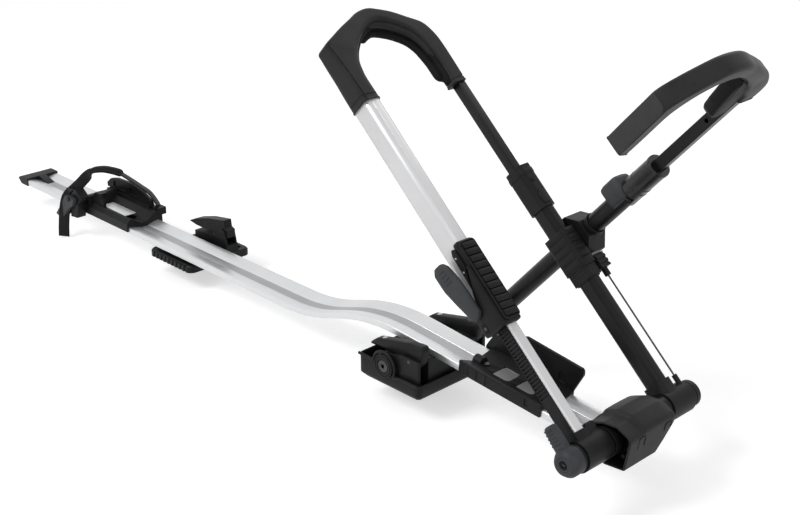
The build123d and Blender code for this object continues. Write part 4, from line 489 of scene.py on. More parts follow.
def padAlong(name, look, place, finish, body, node=None):
    # A crowned strip laid on a wall: height = thick * (1 - |v|^4)^(1/2), rounded down at both ends.
    # Rows: x, y, middle, half width
    path = smoothStations(look["path"], np.linspace(0, len(look["path"]) - 1, look["count"]))
    walk = np.gradient(path[:, 0:2], axis=0)
    normal = np.column_stack([-walk[:, 1], walk[:, 0]]) / np.linalg.norm(walk, axis=1)[:, None] * look["side"]
    share = np.linspace(0.0, 1.0, look["count"])
    nearEnd = np.clip(np.minimum(share, 1 - share) / look["end"], 0.0, 1.0)
    fullness = np.sqrt(np.clip(1 - (1 - nearEnd) ** 2, 0.02, 1.0))
    across = np.sin(np.linspace(-pi / 2, pi / 2, 17))
    crown = np.sqrt(np.clip(1 - np.abs(across) ** 4, 0.0, 1.0))
    sunk = np.full(len(across) - 2, -0.8)
    height = np.concatenate([crown * look["thick"], sunk])
    spread = np.concatenate([across, across[-2:0:-1]])
    rings = path[:, None, 0:2] + normal[:, None, :] * (height[None, :] * fullness[:, None])[..., None]
    rise = path[:, 2:3] + path[:, 3:4] * spread[None, :] * (0.55 + 0.45 * fullness[:, None])
    piece = ringsPiece(name, placed(np.dstack([rings, rise]), place), finish, body, 60.0, node)


def bentPath(corners, radii, step):
    # Straight runs joined by arcs; gives the points and the unit direction at each
    corners = np.asarray(corners, float)
    runs = np.diff(corners, axis=0)
    runs /= np.linalg.norm(runs, axis=1)[:, None]
    points, walks = [corners[0]], [runs[0]]
    for middle, first, second, radius in zip(corners[1:-1], runs[:-1], runs[1:], radii):
        turn = np.arctan2(first[0] * second[1] - first[1] * second[0], first @ second)
        left = np.array([-first[1], first[0]])
        side = left * np.sign(turn)
        centre = middle - first * radius * np.tan(abs(turn) / 2) + side * radius
        for share in np.linspace(0, 1, max(3, int(radius * abs(turn) / step) + 1)):
            angle = turn * share
            points.append(centre - side * radius * cos(angle) + first * radius * abs(sin(angle)))
            walks.append(first * cos(angle) + left * sin(angle))
    return np.array(points + [corners[-1]]), np.array(walks + [runs[-1]])


def sweptRings(loop, path, walk):
    # A section square to a path in the x z plane: x = pathX - walkZ * up, y = across, z = pathZ + walkX * up
    rings = np.zeros((len(path), len(loop), 3))
    rings[..., 0] = path[:, 0:1] - walk[:, 1:2] * loop[None, :, 1]
    rings[..., 1] = loop[None, :, 0]
    rings[..., 2] = path[:, 1:2] + walk[:, 0:1] * loop[None, :, 1]
    return rings * mm


def softened(node, finish, width, segments):
    # A merged copy of the solid's own mesh, with its edges rounded
    mesh = frame["nodes"][node].data.copy()
    work = bmesh.new()
    work.from_mesh(mesh)
    bmesh.ops.remove_doubles(work, verts=work.verts, dist=0.00001)
    bmesh.ops.dissolve_limit(work, angle_limit=radians(1.0), verts=work.verts, edges=work.edges)
    bmesh.ops.recalc_face_normals(work, faces=work.faces)
    work.to_mesh(mesh)
    work.free()
    piece = linked(node + "Shape", mesh)
    bevel = piece.modifiers.new("edges", "BEVEL")
    bevel.width = width * mm
    bevel.segments = segments
    bevel.limit_method = "ANGLE"
    bevel.angle_limit = radians(32.0)
    bevel.harden_normals = True
    bevel.use_clamp_overlap = True
    dress(piece, finish, bodyOf[node])
    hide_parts(node)


# Plain nodes: the solid is right, and its edges are rounded; finish and width of the rounding
plainNodes = {
    "rear_end_cap": ("darkPlastic", 1.6), "foot_saddle": ("darkPlastic", 1.2),
    "front_cradle": ("darkPlastic", 0.8), "cradle_wing": ("darkPlastic", 1.8),
    "near_leg_socket": ("darkPlastic", 1.6), "far_sleeve": ("darkPlastic", 1.4),
    "far_leg_socket": ("darkPlastic", 1.4), "carriage": ("darkPlastic", 0.8),
    "pivot_block": ("darkPlastic", 2.2), "arm_end_cap": ("darkPlastic", 0.8),
    "arm_collar": ("darkPlastic", 0.9), "arm_sleeve": ("glossPlastic", 1.2),
    "buckle_lever": ("greyPlastic", 2.2), "holder_base": ("darkPlastic", 1.4),
    "holder_wall": ("darkPlastic", 1.0), "buckle_block": ("darkPlastic", 1.2),
    "bracket_plate": ("darkPlastic", 1.2), "bracket_tower": ("darkPlastic", 0.9),
    "rear_clamp_lever": ("darkPlastic", 2.2), "far_hub_cap": ("darkPlastic", 0.6),
    "near_rail": ("legMetal", 0.5),
}
for nodeName, (finishName, edgeWidth) in plainNodes.items():
    softened(nodeName, finishName, edgeWidth, 3 if edgeWidth > 1.5 else 2)

# Nodes that show as they are, with a finish
nodeFinishes = {
    "foot_bolt": "darkSteel", "clamp_lever_pins": "darkSteel", "cradle_screws": "darkSteel",
    "hub_bushes": "darkPlastic", "hub_tube": "blackTube", "release_pin": "darkSteel",
    "far_lower_tube": "blackTube", "guide_rod": "darkSteel", "pivot_boss": "darkPlastic",
    "arm_tube": "blackTube", "arm_thin_tube": "blackTube",
}
for nodeName, finishName in nodeFinishes.items():
    frame["nodes"][nodeName].data.materials.clear()
    frame["nodes"][nodeName].data.materials.append(finishes[finishName])
print("solids dressed:", len(plainNodes) + len(nodeFinishes))

# Hoop casing: square on the near leg, thinning over the crown to the far leg
hoopLook = {
    "collars": [0.34, 18.77],
    "stations": [
        (-113, 572, -78, 572, 22, 21, 13, 4, 13, 8, 1.8), (-114, 598, -78, 594, 22, 19, 14, 4, 12, 8, 1.8),
        (-115, 624, -77.5, 611, 22, 16, 15, 4, 11, 8, 1.8),
        (-117, 648, -75, 627, 22, 12.5, 15, 3.5, 9, 6, 1.8),
        (-118.8, 664, -71.5, 639, 22, 9.5, 15, 3, 8, 5, 1.8),
        (-119.3, 671.5, -69, 645, 22, 8.5, 15, 3, 8, 5, 1.4),
        (-112, 676.5, -66, 650, 22, 9.5, 14, 3, 8, 5, 0.2),
        (-96, 684.5, -60, 658, 21.5, 12, 14, 3.5, 8, 6, 0), (-74, 695.5, -49, 670, 20.5, 16, 12, 4, 8, 7, 0),
        (-48, 707, -35, 682, 19.5, 18, 11, 5, 8, 7, 0), (-25, 717, -20, 691, 18, 19, 9, 5, 7, 7, 0),
        (-3, 720.5, -3, 696.5, 17, 18, 8, 5, 7, 6, 0), (15, 716.5, 14, 694, 16, 18, 8, 5, 7, 6, 0),
        (39, 708, 38, 683.5, 14.5, 17, 7, 5, 6, 6, 0), (64, 695, 59, 668, 12.5, 16, 6, 5, 6, 5, 0),
        (88.5, 681, 70.5, 650, 10, 15.5, 5, 4, 6, 5, 0), (99.5, 661, 75, 633, 9, 15, 4, 4, 5, 5, 0),
        (103.5, 640, 77.5, 617, 8, 15, 4, 3.5, 5, 5, 0), (103.7, 605, 78, 593, 8, 15, 4, 3.5, 5, 5, 0),
        (103, 569, 77.5, 569, 8, 15, 4, 3.5, 5, 5, 0),
    ],
}
stationLoft("hoopCasing", hoopLook, hoopFrame, "shellPlastic", "hoop_upper", "hoop_casing")

# Pad inside the hoop, flat on the near leg
hoopPadLook = {
    "side": -1, "thick": 5.0, "end": 0.05, "count": 90,
    "path": [(-78, 577, 0, 10.5), (-78, 595, 0, 10.5), (-77.5, 611, 0, 10.5), (-75, 627, 0, 10.5),
             (-70, 642, 0, 9), (-61, 657, 0, 8.5), (-49, 670, -1, 9.5), (-35, 682, -2, 9),
             (-20, 691, -2.5, 8.5), (-3, 696.5, -3, 8), (14, 694, -3, 8), (38, 683.5, -3, 8), (59, 668, -3, 8),
             (70.5, 650, -3.5, 8), (75, 633, -4, 8), (77.5, 617, -4, 8), (78, 593, -4, 8),
             (77.5, 575, -4, 7.5)],
}
padAlong("hoopPad", hoopPadLook, hoopFrame, "softPad", "hoop_upper", "hoop_pad")

# Thick ridge at the pad's back on the far leg, and a lens-shaped panel before it
ridgeLook = {
    "side": -1, "thick": 12.5, "end": 0.07, "count": 70,
    "path": [(-32, 684, -9, 5), (-20, 691, -9.5, 5.5), (-3, 696.5, -10, 6), (14, 694, -10, 6),
             (38, 683.5, -10, 6), (59, 668, -10, 6), (70.5, 650, -10, 6), (75, 633, -10, 6),
             (77.5, 617, -10, 6), (78, 600, -10, 6), (78, 584, -10, 5.6)],
}
padAlong("hoopRidge", ridgeLook, hoopFrame, "softPad", "hoop_upper")
liningLook = {
    "side": -1, "thick": 6.8, "end": 0.35, "count": 50,
    "path": [(-14, 694, 5, 4.5), (-3, 696.5, 5, 4.8), (14, 694, 5, 5), (38, 683.5, 4, 5), (59, 668, 3, 5),
             (70.5, 650, 1.8, 4.6), (75, 633, 1.2, 4.2), (77, 620, 1, 3.6)],
}
padAlong("hoopLining", liningLook, hoopFrame, "shellPlastic", "hoop_upper")
thinTubeLook = {
    "outline": box((85.9, -11.0), (101.2, 5.4)), "round": 2.0, "low": 180.0, "high": 586.0, "edge": 0.3,
    "ends": 3, "smooth": 30.0,
}
slab("thinTube", thinTubeLook, legAcross, "blackTube", "hoop_upper", "far_thin_tube")

# Near upper tube: an oval with one long seam between its round side and its flat front
upperLook = {
    "outline": box((-110.5, -20.0), (-80.5, 20.0)), "round": 12.0, "steps": 14,
    "low": 243.0, "high": 590.0, "edge": 0.3, "ends": 3, "smooth": 30.0,
    "seam": {"place": (-100.0, 20.0), "width": 1.2, "depth": 0.7, "step": 0.35},
}
upperLoop = roundedLoop(upperLook["outline"], upperLook["round"], upperLook["steps"])
upperLook["loop"] = grooved(upperLoop, upperLook["seam"])
slab("upperTube", upperLook, legAcross, "legMetal", "hoop_upper", "near_upper_tube")
print("hoop made")

# Hook casing, with a lighter panel on its near leg
hookLook = {
    "collars": [13.62],
    "stations": [
        (-105, 333, -78, 324, 13.6, 13.6, 7, 4, 4, 6, 0), (-105, 358, -78, 352, 14, 14, 7, 4, 4, 6, 0),
        (-105, 386, -78, 378, 14, 14, 7, 4, 4, 6, 0), (-105, 410, -77.5, 401, 14, 14, 7, 4, 4, 6, 0),
        (-103.5, 429, -73, 415, 14, 14, 7, 4, 4, 6, 0), (-84, 446, -62, 428, 14, 14, 7, 5, 5, 6, 0),
        (-51, 463, -44, 440, 14, 14, 7, 6, 6, 6, 0), (-18, 474, -17, 448, 14, 14, 7, 7, 7, 6, 0),
        (21, 471.5, 19, 446, 14, 14, 7, 8, 8, 6, 0), (62, 453, 56, 430, 14, 14, 7, 8, 8, 6, 0),
        (96, 436, 83, 411, 14, 14, 7, 8, 8, 6, 0), (120, 422, 98, 392, 14, 14, 7, 7, 7, 6, 0),
        (140.5, 401, 110, 379, 14, 14, 7, 5, 5, 6, 0), (148, 381, 115, 368, 13.6, 13.6, 6, 5, 5, 6, 0),
        (149.2, 364, 117, 362, 13, 13, 5, 5, 5, 5, 0),
    ],
}
stationLoft("hookCasing", hookLook, hookFrame, "shellPlastic", "arm_inner", "hook_casing")
hookPanelLook = {
    "outline": [(334.5, -12.6), (426, -12.6), (426, 12.6), (334.5, 12.6)], "round": [3, 4, 9, 3],
    "low": 103.0, "high": 105.9, "edge": 0.8, "steps": 8,
}
slab("hookPanel", hookPanelLook, (armCross, armDir, armNormal, -acrossDir), "panelPlastic", "arm_inner")

# Pad inside the hook, and the soft end that closes its far side
hookPadLook = {
    "side": -1, "thick": 4.0, "end": 0.06, "count": 80,
    "path": [(-78, 328, 0, 8.6), (-78, 352, 0, 8.6), (-78, 378, 0, 8.6), (-77.5, 401, 0, 8.6),
             (-73, 415, 0, 8.6), (-62, 428, 0, 8.6), (-44, 440, 0, 8.6), (-17, 448, 0, 8.6), (19, 446, 0, 8.6),
             (56, 430, 0, 8.6), (83, 411, 0, 8.4), (94, 398, 0, 8.2)],
}
padAlong("hookPad", hookPadLook, hookFrame, "softPad", "arm_inner", "hook_pad")
stubLook = {
    "outline": [(115, 376), (115, 340), (109, 332), (93, 331), (83, 341), (73, 362), (65, 384), (60, 404),
                (60, 424), (90, 410), (104, 396)],
    "round": [5, 8, 6, 6, 8, 12, 12, 10, 3, 10, 8], "low": -10.5, "high": 10.5, "edge": 4.5, "steps": 8,
}
stub = slab("hookStub", stubLook, hookFrame, "softPad", "arm_inner")
print("hook made")

# Tray: its section swept along the bent path, with rounded rails on both sides of the groove, and a strip of
# painted shade inside the groove.
# Rows of the half section are across, up, radius
trayLook = {
    "halfSection": [(12.7, -12, 0.3), (12.7, -7.26, 0.3), (33.1, -2.69, 0.5), (33.1, -9.8, 0.3),
                    (27.3, -9.8, 0.3), (27.3, -12, 0.5), (35.3, -12, 0.8), (35.3, 0, 3.2), (26, -1.3, 20),
                    (17, -3.4, 20), (9.5, -5.6, 2.0), (6.0, -9.8, 3.0)],
    "rear": -1162, "lowKnee": (-250, 31.5), "highKnee": (-93, 83.2), "front": 374, "bends": (330, 370),
    "step": 7.0, "grooveShadeFloor": box((-9.2, -7.6), (9.2, -6.1)),
}
trayFrontUp = trayLook["highKnee"][1] - (trayLook["front"] - trayLook["highKnee"][0]) * np.tan(angles["front"])
trayCorners = [(trayLook["rear"], trayLook["lowKnee"][1]), trayLook["lowKnee"], trayLook["highKnee"],
               (trayLook["front"], trayFrontUp)]
trayPath, trayWalk = bentPath(trayCorners, trayLook["bends"], trayLook["step"])
mirrored = [(-across, up, radius) for across, up, radius in trayLook["halfSection"][::-1]]
section = np.array(trayLook["halfSection"] + mirrored)
trayLoop = roundedLoop(section[:, :2], section[:, 2])
grooveShadeLoop = roundedLoop(trayLook["grooveShadeFloor"], 0.5, 4)
ringsPiece("trayRail", sweptRings(trayLoop, trayPath, trayWalk), "trayMetal", "carrier_frame", 30.0,
           "tray_extrusion")
# A dark strip laid part way down the groove: painted shade for the groove's shadowed inside
ringsPiece("trayGrooveShade", sweptRings(grooveShadeLoop, trayPath, trayWalk), "shadedGrooveMetal", "carrier_frame", 30.0)

# Rack on the near rail: lands and grooves in one strip, over a smooth foot, with an edge strip beside them
rackLook = {
    "start": 26.0, "first": 88.0, "end": 400.0, "pitch": 5.2, "count": 60, "groove": 2.2, "slope": 0.2,
    "seat": 101.9, "valley": 102.8, "land": 104.85,
    "strip": {"low": -9.5, "high": 10.4, "edge": 0.12, "ends": 2, "smooth": 30.0},
    "border": {"outline": box((88, -10.2), (400, -8.2)), "round": 0.4, "low": 101.9, "high": 104.85,
               "edge": 0.4, "steps": 3},
}
rackLine = [(rackLook["start"], rackLook["seat"]), (rackLook["start"], rackLook["land"]),
            (rackLook["first"], rackLook["land"])]
for turn in range(rackLook["count"]):
    start = rackLook["first"] + turn * rackLook["pitch"]
    end = start + rackLook["groove"]
    rackLine += [(start + rackLook["slope"], rackLook["valley"]), (end, rackLook["valley"]),
                 (end + rackLook["slope"], rackLook["land"]), (start + rackLook["pitch"], rackLook["land"])]
rackLine.append((rackLook["end"] + rackLook["slope"], rackLook["seat"]))
slab("rackStrip", dict(rackLook["strip"], loop=np.array(rackLine)), (hubCentre, legDir, -acrossDir, legNormal),
     "darkPlastic", "hoop_base", "rack_strip")
slab("rackEdge", rackLook["border"], (hubCentre, legDir, legNormal, -acrossDir), "darkPlastic", "hoop_base")

# A plate under the cradle's windows in a dark copy of the tray metal: painted shade for the tray seen there in
# shadow
cradleShadeLook = {
    "middle": (190.0, 0.0, 59.7), "outline": box((-72, -17.6), (76, 17.6)), "round": 2,
    "low": -6.4, "high": -3.6, "edge": 0.3, "steps": 4,
}
cradleFrame = (np.array(cradleShadeLook["middle"]) * mm, frontDir, acrossDir, frontNormal)
slab("cradleShadePlate", cradleShadeLook, cradleFrame, "shadedTrayMetal", "carrier_frame")
print("tray and rack made")

# Ratchet: a raised frame round the grip's eleven leaning blocks
gripLook = {
    "frame": {"outer": box((-110.5, 202.5), (-79.2, 328.8)), "outerRound": 7,
              "inner": box((-107.2, 205.6), (-81.8, 325.9)), "innerRound": 4, "steps": 7,
              "low": 20.5, "high": 25.4, "edge": 1.2},
    "near": -106.5, "far": -82.5, "nearLean": 1.0, "farLean": -0.4, "start": 206.5, "pitch": 10.85, "gap": 1.3,
    "count": 11, "block": {"round": 1.6, "low": 21.4, "high": 26.3, "edge": 1.5, "steps": 4},
}
rim("gripFrame", gripLook["frame"], hoopFrame, "darkPlastic", "hoop_upper")
near, nearLean, far, farLean = (gripLook[key] for key in ("near", "nearLean", "far", "farLean"))
for turn in range(gripLook["count"]):
    start = gripLook["start"] + turn * gripLook["pitch"]
    end = start + gripLook["pitch"] - gripLook["gap"]
    outline = [(near, start + nearLean), (far, start + farLean), (far, end + farLean), (near, end + nearLean)]
    slab("gripBlock" + str(turn + 1), dict(gripLook["block"], outline=outline), hoopFrame, "darkPlastic",
         "hoop_upper", "ratchet_grip" if turn == 0 else None)

# Release lever: a leaning blade seen from the near side, broad at its top, with four short ridges
releaseLook = {
    "up": 238, "out": 118.6, "lean": 0.102,
    "blade": {"outline": [(-6, -12), (2, -6), (5, 24), (6, 46), (3, 70), (-4, 79), (-20, 79), (-28, 71),
                          (-30, 46), (-26, 22), (-20, -6), (-16, -12)],
              "round": [3, 4, 30, 30, 8, 8, 8, 8, 30, 30, 4, 3],
              "low": 0.0, "high": 8.2, "edge": 2.6, "steps": 7},
    "ridges": 4, "firstRidge": 50, "ridgePitch": 6, "ridgeHeight": 2.4, "ridgeEnds": (-18, -4),
    "ridge": {"round": 1.1, "low": 7.6, "high": 9.2, "edge": 0.7, "steps": 4},
}
releaseFrame = (hubCentre + legDir * releaseLook["up"] * mm - acrossDir * releaseLook["out"] * mm, legNormal,
                legDir - acrossDir * releaseLook["lean"], -acrossDir)
slab("releaseLever", releaseLook["blade"], releaseFrame, "greyPlastic", "release_handle", "release_lever")
for turn in range(releaseLook["ridges"]):
    start = releaseLook["firstRidge"] + releaseLook["ridgePitch"] * turn
    outline = box((releaseLook["ridgeEnds"][0], start),
                  (releaseLook["ridgeEnds"][1], start + releaseLook["ridgeHeight"]))
    ridge = dict(releaseLook["ridge"], outline=outline)
    slab("releaseRidge" + str(turn + 1), ridge, releaseFrame, "greyPlastic", "release_handle")

# Ratchet body with its plate, a link bar on two pins, and a screw in a small window
ratchetLook = {
    "body": {"outline": [(-21.8, 198), (21.8, 198), (21.8, 300), (10, 276), (-6, 240), (-21.8, 226)],
             "round": [4, 4, 3, 16, 16, 5], "low": 79.0, "high": 118.0, "edge": 3.0, "steps": 7},
    "plate": {"outline": box((-111.5, 203), (-78.8, 331)), "round": 6, "low": 12.0, "high": 22.0, "edge": 2.2,
              "steps": 8},
    "bar": {"outline": [(1, 236), (13, 236), (15, 320), (9, 327), (4, 318)], "round": [2, 2, 3, 3, 4],
            "low": 109.0, "high": 114.6, "edge": 1.2},
    "pins": [(8.6, 312), (7.6, 290)],
    "pin": {"profile": [(114.0, 1.7), (115.0, 1.6), (115.4, 1.0), (115.5, 0.1)], "count": 16},
    "window": {"outline": box((-16, 203), (-7, 217)), "round": 1.0, "low": 117.2, "high": 118.3, "edge": 0.2},
    "screw": {"profile": [(117.8, 0.1), (118.6, 0.1), (118.9, 1.2), (118.7, 2.6), (117.8, 2.9)],
              "centre": (-11.5, 210), "count": 20},
}
ratchetSide = (hubCentre, legNormal, legDir, -acrossDir)
slab("ratchetBody", ratchetLook["body"], ratchetSide, "darkPlastic", "hoop_upper", "ratchet_body")
slab("ratchetPlate", ratchetLook["plate"], hoopFrame, "darkPlastic", "hoop_upper")
slab("linkBar", ratchetLook["bar"], ratchetSide, "darkPlastic", "hoop_upper")
for number, spot in enumerate(ratchetLook["pins"], 1):
    pin = dict(ratchetLook["pin"], centre=spot)
    lathe("linkPin" + str(number), pin, ratchetSide, "boltSteel", "hoop_upper")
slab("ratchetWindow", ratchetLook["window"], ratchetSide, "softPad", "hoop_upper")
lathe("ratchetScrew", ratchetLook["screw"], ratchetSide, "darkSteel", "hoop_upper")
print("ratchet made")

# Carriage bands round the lower tube: five broad ones over four narrow ribs, each rib a little smaller
bandLook = {
    "count": 5, "outline": box((79.6, -23.6), (109.2, 23.6)), "round": 10.0, "steps": 10, "edge": 2.0,
    "top": 242.6, "pitch": 12.2, "height": 10.6,
}
for turn in range(bandLook["count"]):
    top = bandLook["top"] + turn * bandLook["pitch"]
    band = dict(bandLook, low=top - bandLook["height"], high=top)
    slab("band" + str(turn + 1), band, legAcross, "darkPlastic", "arm_carriage")
ribLook = {
    "count": 4, "near": 80.8, "far": 108.6, "half": 21.5, "narrower": 0.3, "shallower": 1, "round": 9.0,
    "steps": 10, "edge": 1.2, "low": 224.6, "high": 228.4, "pitch": 5.2,
}
for turn in range(ribLook["count"]):
    narrower, half = turn * ribLook["narrower"], ribLook["half"] - turn * ribLook["shallower"]
    outline = box((ribLook["near"] + narrower, -half), (ribLook["far"] - narrower, half))
    drop = turn * ribLook["pitch"]
    rib = dict(ribLook, outline=outline, low=ribLook["low"] - drop, high=ribLook["high"] - drop)
    slab("rib" + str(turn + 1), rib, legAcross, "darkPlastic", "arm_carriage")

# Far sleeve: a stepped seam ring, a tongue-shaped button outline and a small square mark
sleeveLook = {
    "ring": {"outline": box((79.6, -19.3), (110.2, 19.3)), "round": 11, "steps": 12, "low": 391.0,
             "high": 399.5, "edge": 0.8},
    "tongue": {"outline": [(86, 339), (99, 339), (101, 352), (92.5, 366), (84, 352)], "round": [2, 2, 7, 8, 7],
               "steps": 8, "low": 18.0, "high": 20.3, "edge": 0.9},
    "mark": {"outline": box((88.5, 376), (94.5, 382)), "round": 1.0, "low": 18.4, "high": 19.4, "edge": 0.3},
}
slab("sleeveRing", sleeveLook["ring"], legAcross, "darkPlastic", "hoop_base")
slab("sleeveTongue", sleeveLook["tongue"], hoopFrame, "darkPlastic", "hoop_base")
slab("sleeveMark", sleeveLook["mark"], hoopFrame, "softPad", "hoop_base")

# Arm: rings on the glossy sleeve; rows are start, radius and length
armRingLook = {
    "rows": [(121, 16.6, 5), (140, 18.1, 4), (150, 18.1, 4), (187, 18.3, 6)], "centre": (131, 0),
    "run": 0.6, "drop": 1.4, "shoulder": 0.2,
}
for number, (start, reach, length) in enumerate(armRingLook["rows"], 1):
    run, end = armRingLook["run"], start + length
    foot, shoulder = reach - armRingLook["drop"], reach - armRingLook["shoulder"]
    profile = [(start, foot), (start + run, shoulder), (start + length / 2, reach), (end - run, shoulder),
               (end, foot)]
    lathe("armRing" + str(number), dict(armRingLook, profile=profile), armAcross, "glossPlastic", "arm_outer")

# Size button astride the arm tube, with a raised face
buttonLook = {
    "body": {"outline": box((112.4, 90), (149.6, 130.5)), "round": 12, "low": -7.0, "high": 28.4, "edge": 6.0,
             "steps": 8},
    "face": {"outline": box((118.5, 95.5), (143.5, 125)), "round": 6, "low": 27.6, "high": 29.4, "edge": 0.9,
             "steps": 8},
}
backFrame = (armCross, acrossDir, armDir, -armNormal)
slab("sizeButton", buttonLook["body"], backFrame, "greyPlastic", "arm_button", "size_button")
slab("buttonFace", buttonLook["face"], backFrame, "greyPlastic", "arm_button")
print("arm made")

# Foot: an open tub, taller at the rear, whose wall rises from a chamfered base and rolls over at the rim.
# Rows of the base and the inside are inset and height, those of the roll are inset and drop below the top
tubLook = {
    "outline": box((-64, -81), (70, 81)), "round": 9, "steps": 8, "step": 3.0,
    "topPlaces": [-64, -24, 6, 70], "topHeights": [39.6, 38.6, 27.0, 26.6],
    "base": [(4.0, 3.0), (0.4, 6.5), (0.0, 8.0)],
    "roll": [(0.0, 1.7), (0.5, 0.5), (1.75, 0.0), (3.0, 0.5), (3.5, 1.7)],
    "inside": [(4.2, 9.0), (6.5, 7.0)],
}
tubLoop = finely(roundedLoop(tubLook["outline"], tubLook["round"], tubLook["steps"]), tubLook["step"])
tubTop = np.interp(tubLoop[:, 0], tubLook["topPlaces"], tubLook["topHeights"])
tubRows = tubLook["base"] + [(inset, tubTop - drop) for inset, drop in tubLook["roll"]] + tubLook["inside"]
tubRings = np.stack([ringAt(insetLoop(tubLoop, inset), up) for inset, up in tubRows])
ringsPiece("footTub", placed(tubRings, upFrame), "darkPlastic", "carrier_frame", 38.0, "foot_base")

# The round boss of the tightening bolt, with the line of the tub's rim round it
bossLook = {
    "centre": (-6, 36), "count": 64,
    "profile": [(66.0, 20.0), (81.5, 20.0), (83.4, 19.2), (84.0, 18.2), (84.0, 17.4), (82.9, 16.9),
                (82.9, 15.5), (84.0, 15.0), (84.0, 12.4), (83.4, 11.4), (79.0, 11.0), (79.0, 0.1)],
    "rimRear": [(-63, 38.6), (-46, 37.6), (-33, 37.4)], "rimRadius": 23.5, "rimTurn": (172, -30),
    "rimFront": [(18, 23.5), (26, 25.5), (44, 26.2), (68, 26.0)], "rimOut": 80.6, "rimThick": 2.4,
}
lathe("footBoss", bossLook, sideFrame, "darkPlastic", "carrier_frame")

# Clamp levers, one outline for both sides
clampLook = {
    "outline": [(-54, 55), (-36, 69), (34, 85), (62, 87), (66, 82), (63, 60), (55, 47), (28, 47), (2, 58),
                (-34, 55)],
    "round": [5, 14, 30, 5, 5, 14, 10, 14, 24, 16], "low": 52.5, "high": 68.5, "edge": 3.0, "steps": 8,
}
farClampLook = dict(clampLook, low=-clampLook["high"], high=-clampLook["low"])
slab("nearLever", clampLook, sideFrame, "darkPlastic", "near_clamp", "near_clamp_lever")
slab("farLever", farClampLook, sideFrame, "darkPlastic", "far_clamp", "far_clamp_lever")

# The tub's rim, which rolls round the boss, and the pad under the tub
rimTurn = np.linspace(*np.radians(bossLook["rimTurn"]), 30)
rimCircle = np.column_stack([np.cos(rimTurn), np.sin(rimTurn)])
rimArc = np.asarray(bossLook["centre"]) + bossLook["rimRadius"] * rimCircle
rimPath = np.vstack([bossLook["rimRear"], rimArc, bossLook["rimFront"]])
rimPath = smoothStations(rimPath, np.linspace(0, len(rimPath) - 1, 140))
rimPoints = ringAt(rimPath, bossLook["rimOut"])
bead("tubRim", rimPoints, bossLook["rimThick"], sideFrame, "darkPlastic", "carrier_frame")
footPadLook = {"outline": box((-58, -75), (64, 75)), "round": 7, "low": 0.0, "high": 3.0, "edge": 0.8}
footPad = slab("footPad", footPadLook, upFrame, "softPad", "carrier_frame", "foot_rubber_pad")

# A rivet in each lever's sloping top
rivetLook = {
    "profile": [(-1.5, 4.2), (0.3, 4.2), (1.0, 3.4), (1.3, 0.1)], "centre": (0, 0), "count": 24,
    "place": (-24.0, 60.5, 71.6), "slope": (0.974, 0.222),
}
rivetX, rivetY, rivetZ = rivetLook["place"]
slopeRun, slopeRise = rivetLook["slope"]
for side, ending, body in ((-1, "Near", "near_clamp"), (1, "Far", "far_clamp")):
    rivetFrame = (np.array([rivetX, side * rivetY, rivetZ]) * mm, acrossDir,
                  np.array([slopeRun, 0.0, slopeRise]), np.array([-slopeRise, 0.0, slopeRun]))
    lathe("leverRivet" + ending, rivetLook, rivetFrame, "boltSteel", body)

# Lock: a chamfered cap with its finger lever, and a plug with a ring round the keyhole
lockLook = {
    "cap": {"profile": [(118.3, 19.6), (118.8, 20.5), (133.2, 20.5), (134.6, 20.0), (140.6, 15.8),
                        (141.3, 14.4), (141.3, 10.8), (140.8, 10.3), (138.0, 10.2), (138.0, 0.1)],
            "centre": (0, 0), "count": 64},
    "finger": {"outline": [(8, -11), (30, -10), (54, -8.2), (54, 8.2), (30, 10), (8, 11)],
               "round": [1, 20, 7, 7, 20, 1], "low": 118.8, "high": 133.0, "edge": 3.2, "steps": 8},
    "plug": {"profile": [(133.0, 10.0), (140.6, 10.1), (140.9, 9.8), (140.9, 7.0), (139.4, 6.6), (139.4, 0.1)],
             "centre": (0, 0), "count": 40},
    "keyRing": {"profile": [(139.0, 6.4), (140.6, 6.2), (141.0, 5.4), (140.6, 3.6), (139.6, 3.2),
                            (139.6, 0.1)], "centre": (0, 0), "count": 32},
    "keySlot": {"outline": box((-2.5, -0.8), (2.5, 0.8)), "round": 0.5, "low": 139.4, "high": 140.0,
                "edge": 0.2, "steps": 4},
    "ribs": 5, "firstRib": 26, "ribPitch": 5.4, "ribLength": 2.6, "ribHalf": 8.6, "ribNarrower": 0.3,
    "rib": {"round": 1.2, "low": 131.0, "high": 134.1, "edge": 0.8, "steps": 4},
}
lockFrame = (hubCentre, alongDir, upDir, -acrossDir)
fingerFrame = (hubCentre, np.array([-0.7071, 0.0, 0.7071]), np.array([0.7071, 0.0, 0.7071]), -acrossDir)
lathe("lockCap", lockLook["cap"], lockFrame, "greyPlastic", "lock_handle", "lock_lever")
slab("fingerLever", lockLook["finger"], fingerFrame, "greyPlastic", "lock_handle")
lathe("lockPlug", lockLook["plug"], lockFrame, "greyPlastic", "lock_plug", "lock_cylinder")
lathe("keyRing", lockLook["keyRing"], lockFrame, "softPad", "lock_plug")
slab("keySlot", lockLook["keySlot"], lockFrame, "darkSteel", "lock_plug")
for turn in range(lockLook["ribs"]):
    start = lockLook["firstRib"] + lockLook["ribPitch"] * turn
    half = lockLook["ribHalf"] - turn * lockLook["ribNarrower"]
    outline = box((start, -half), (start + lockLook["ribLength"], half))
    slab("fingerRib" + str(turn + 1), dict(lockLook["rib"], outline=outline), fingerFrame, "greyPlastic",
         "lock_handle")
print("foot and lock made")

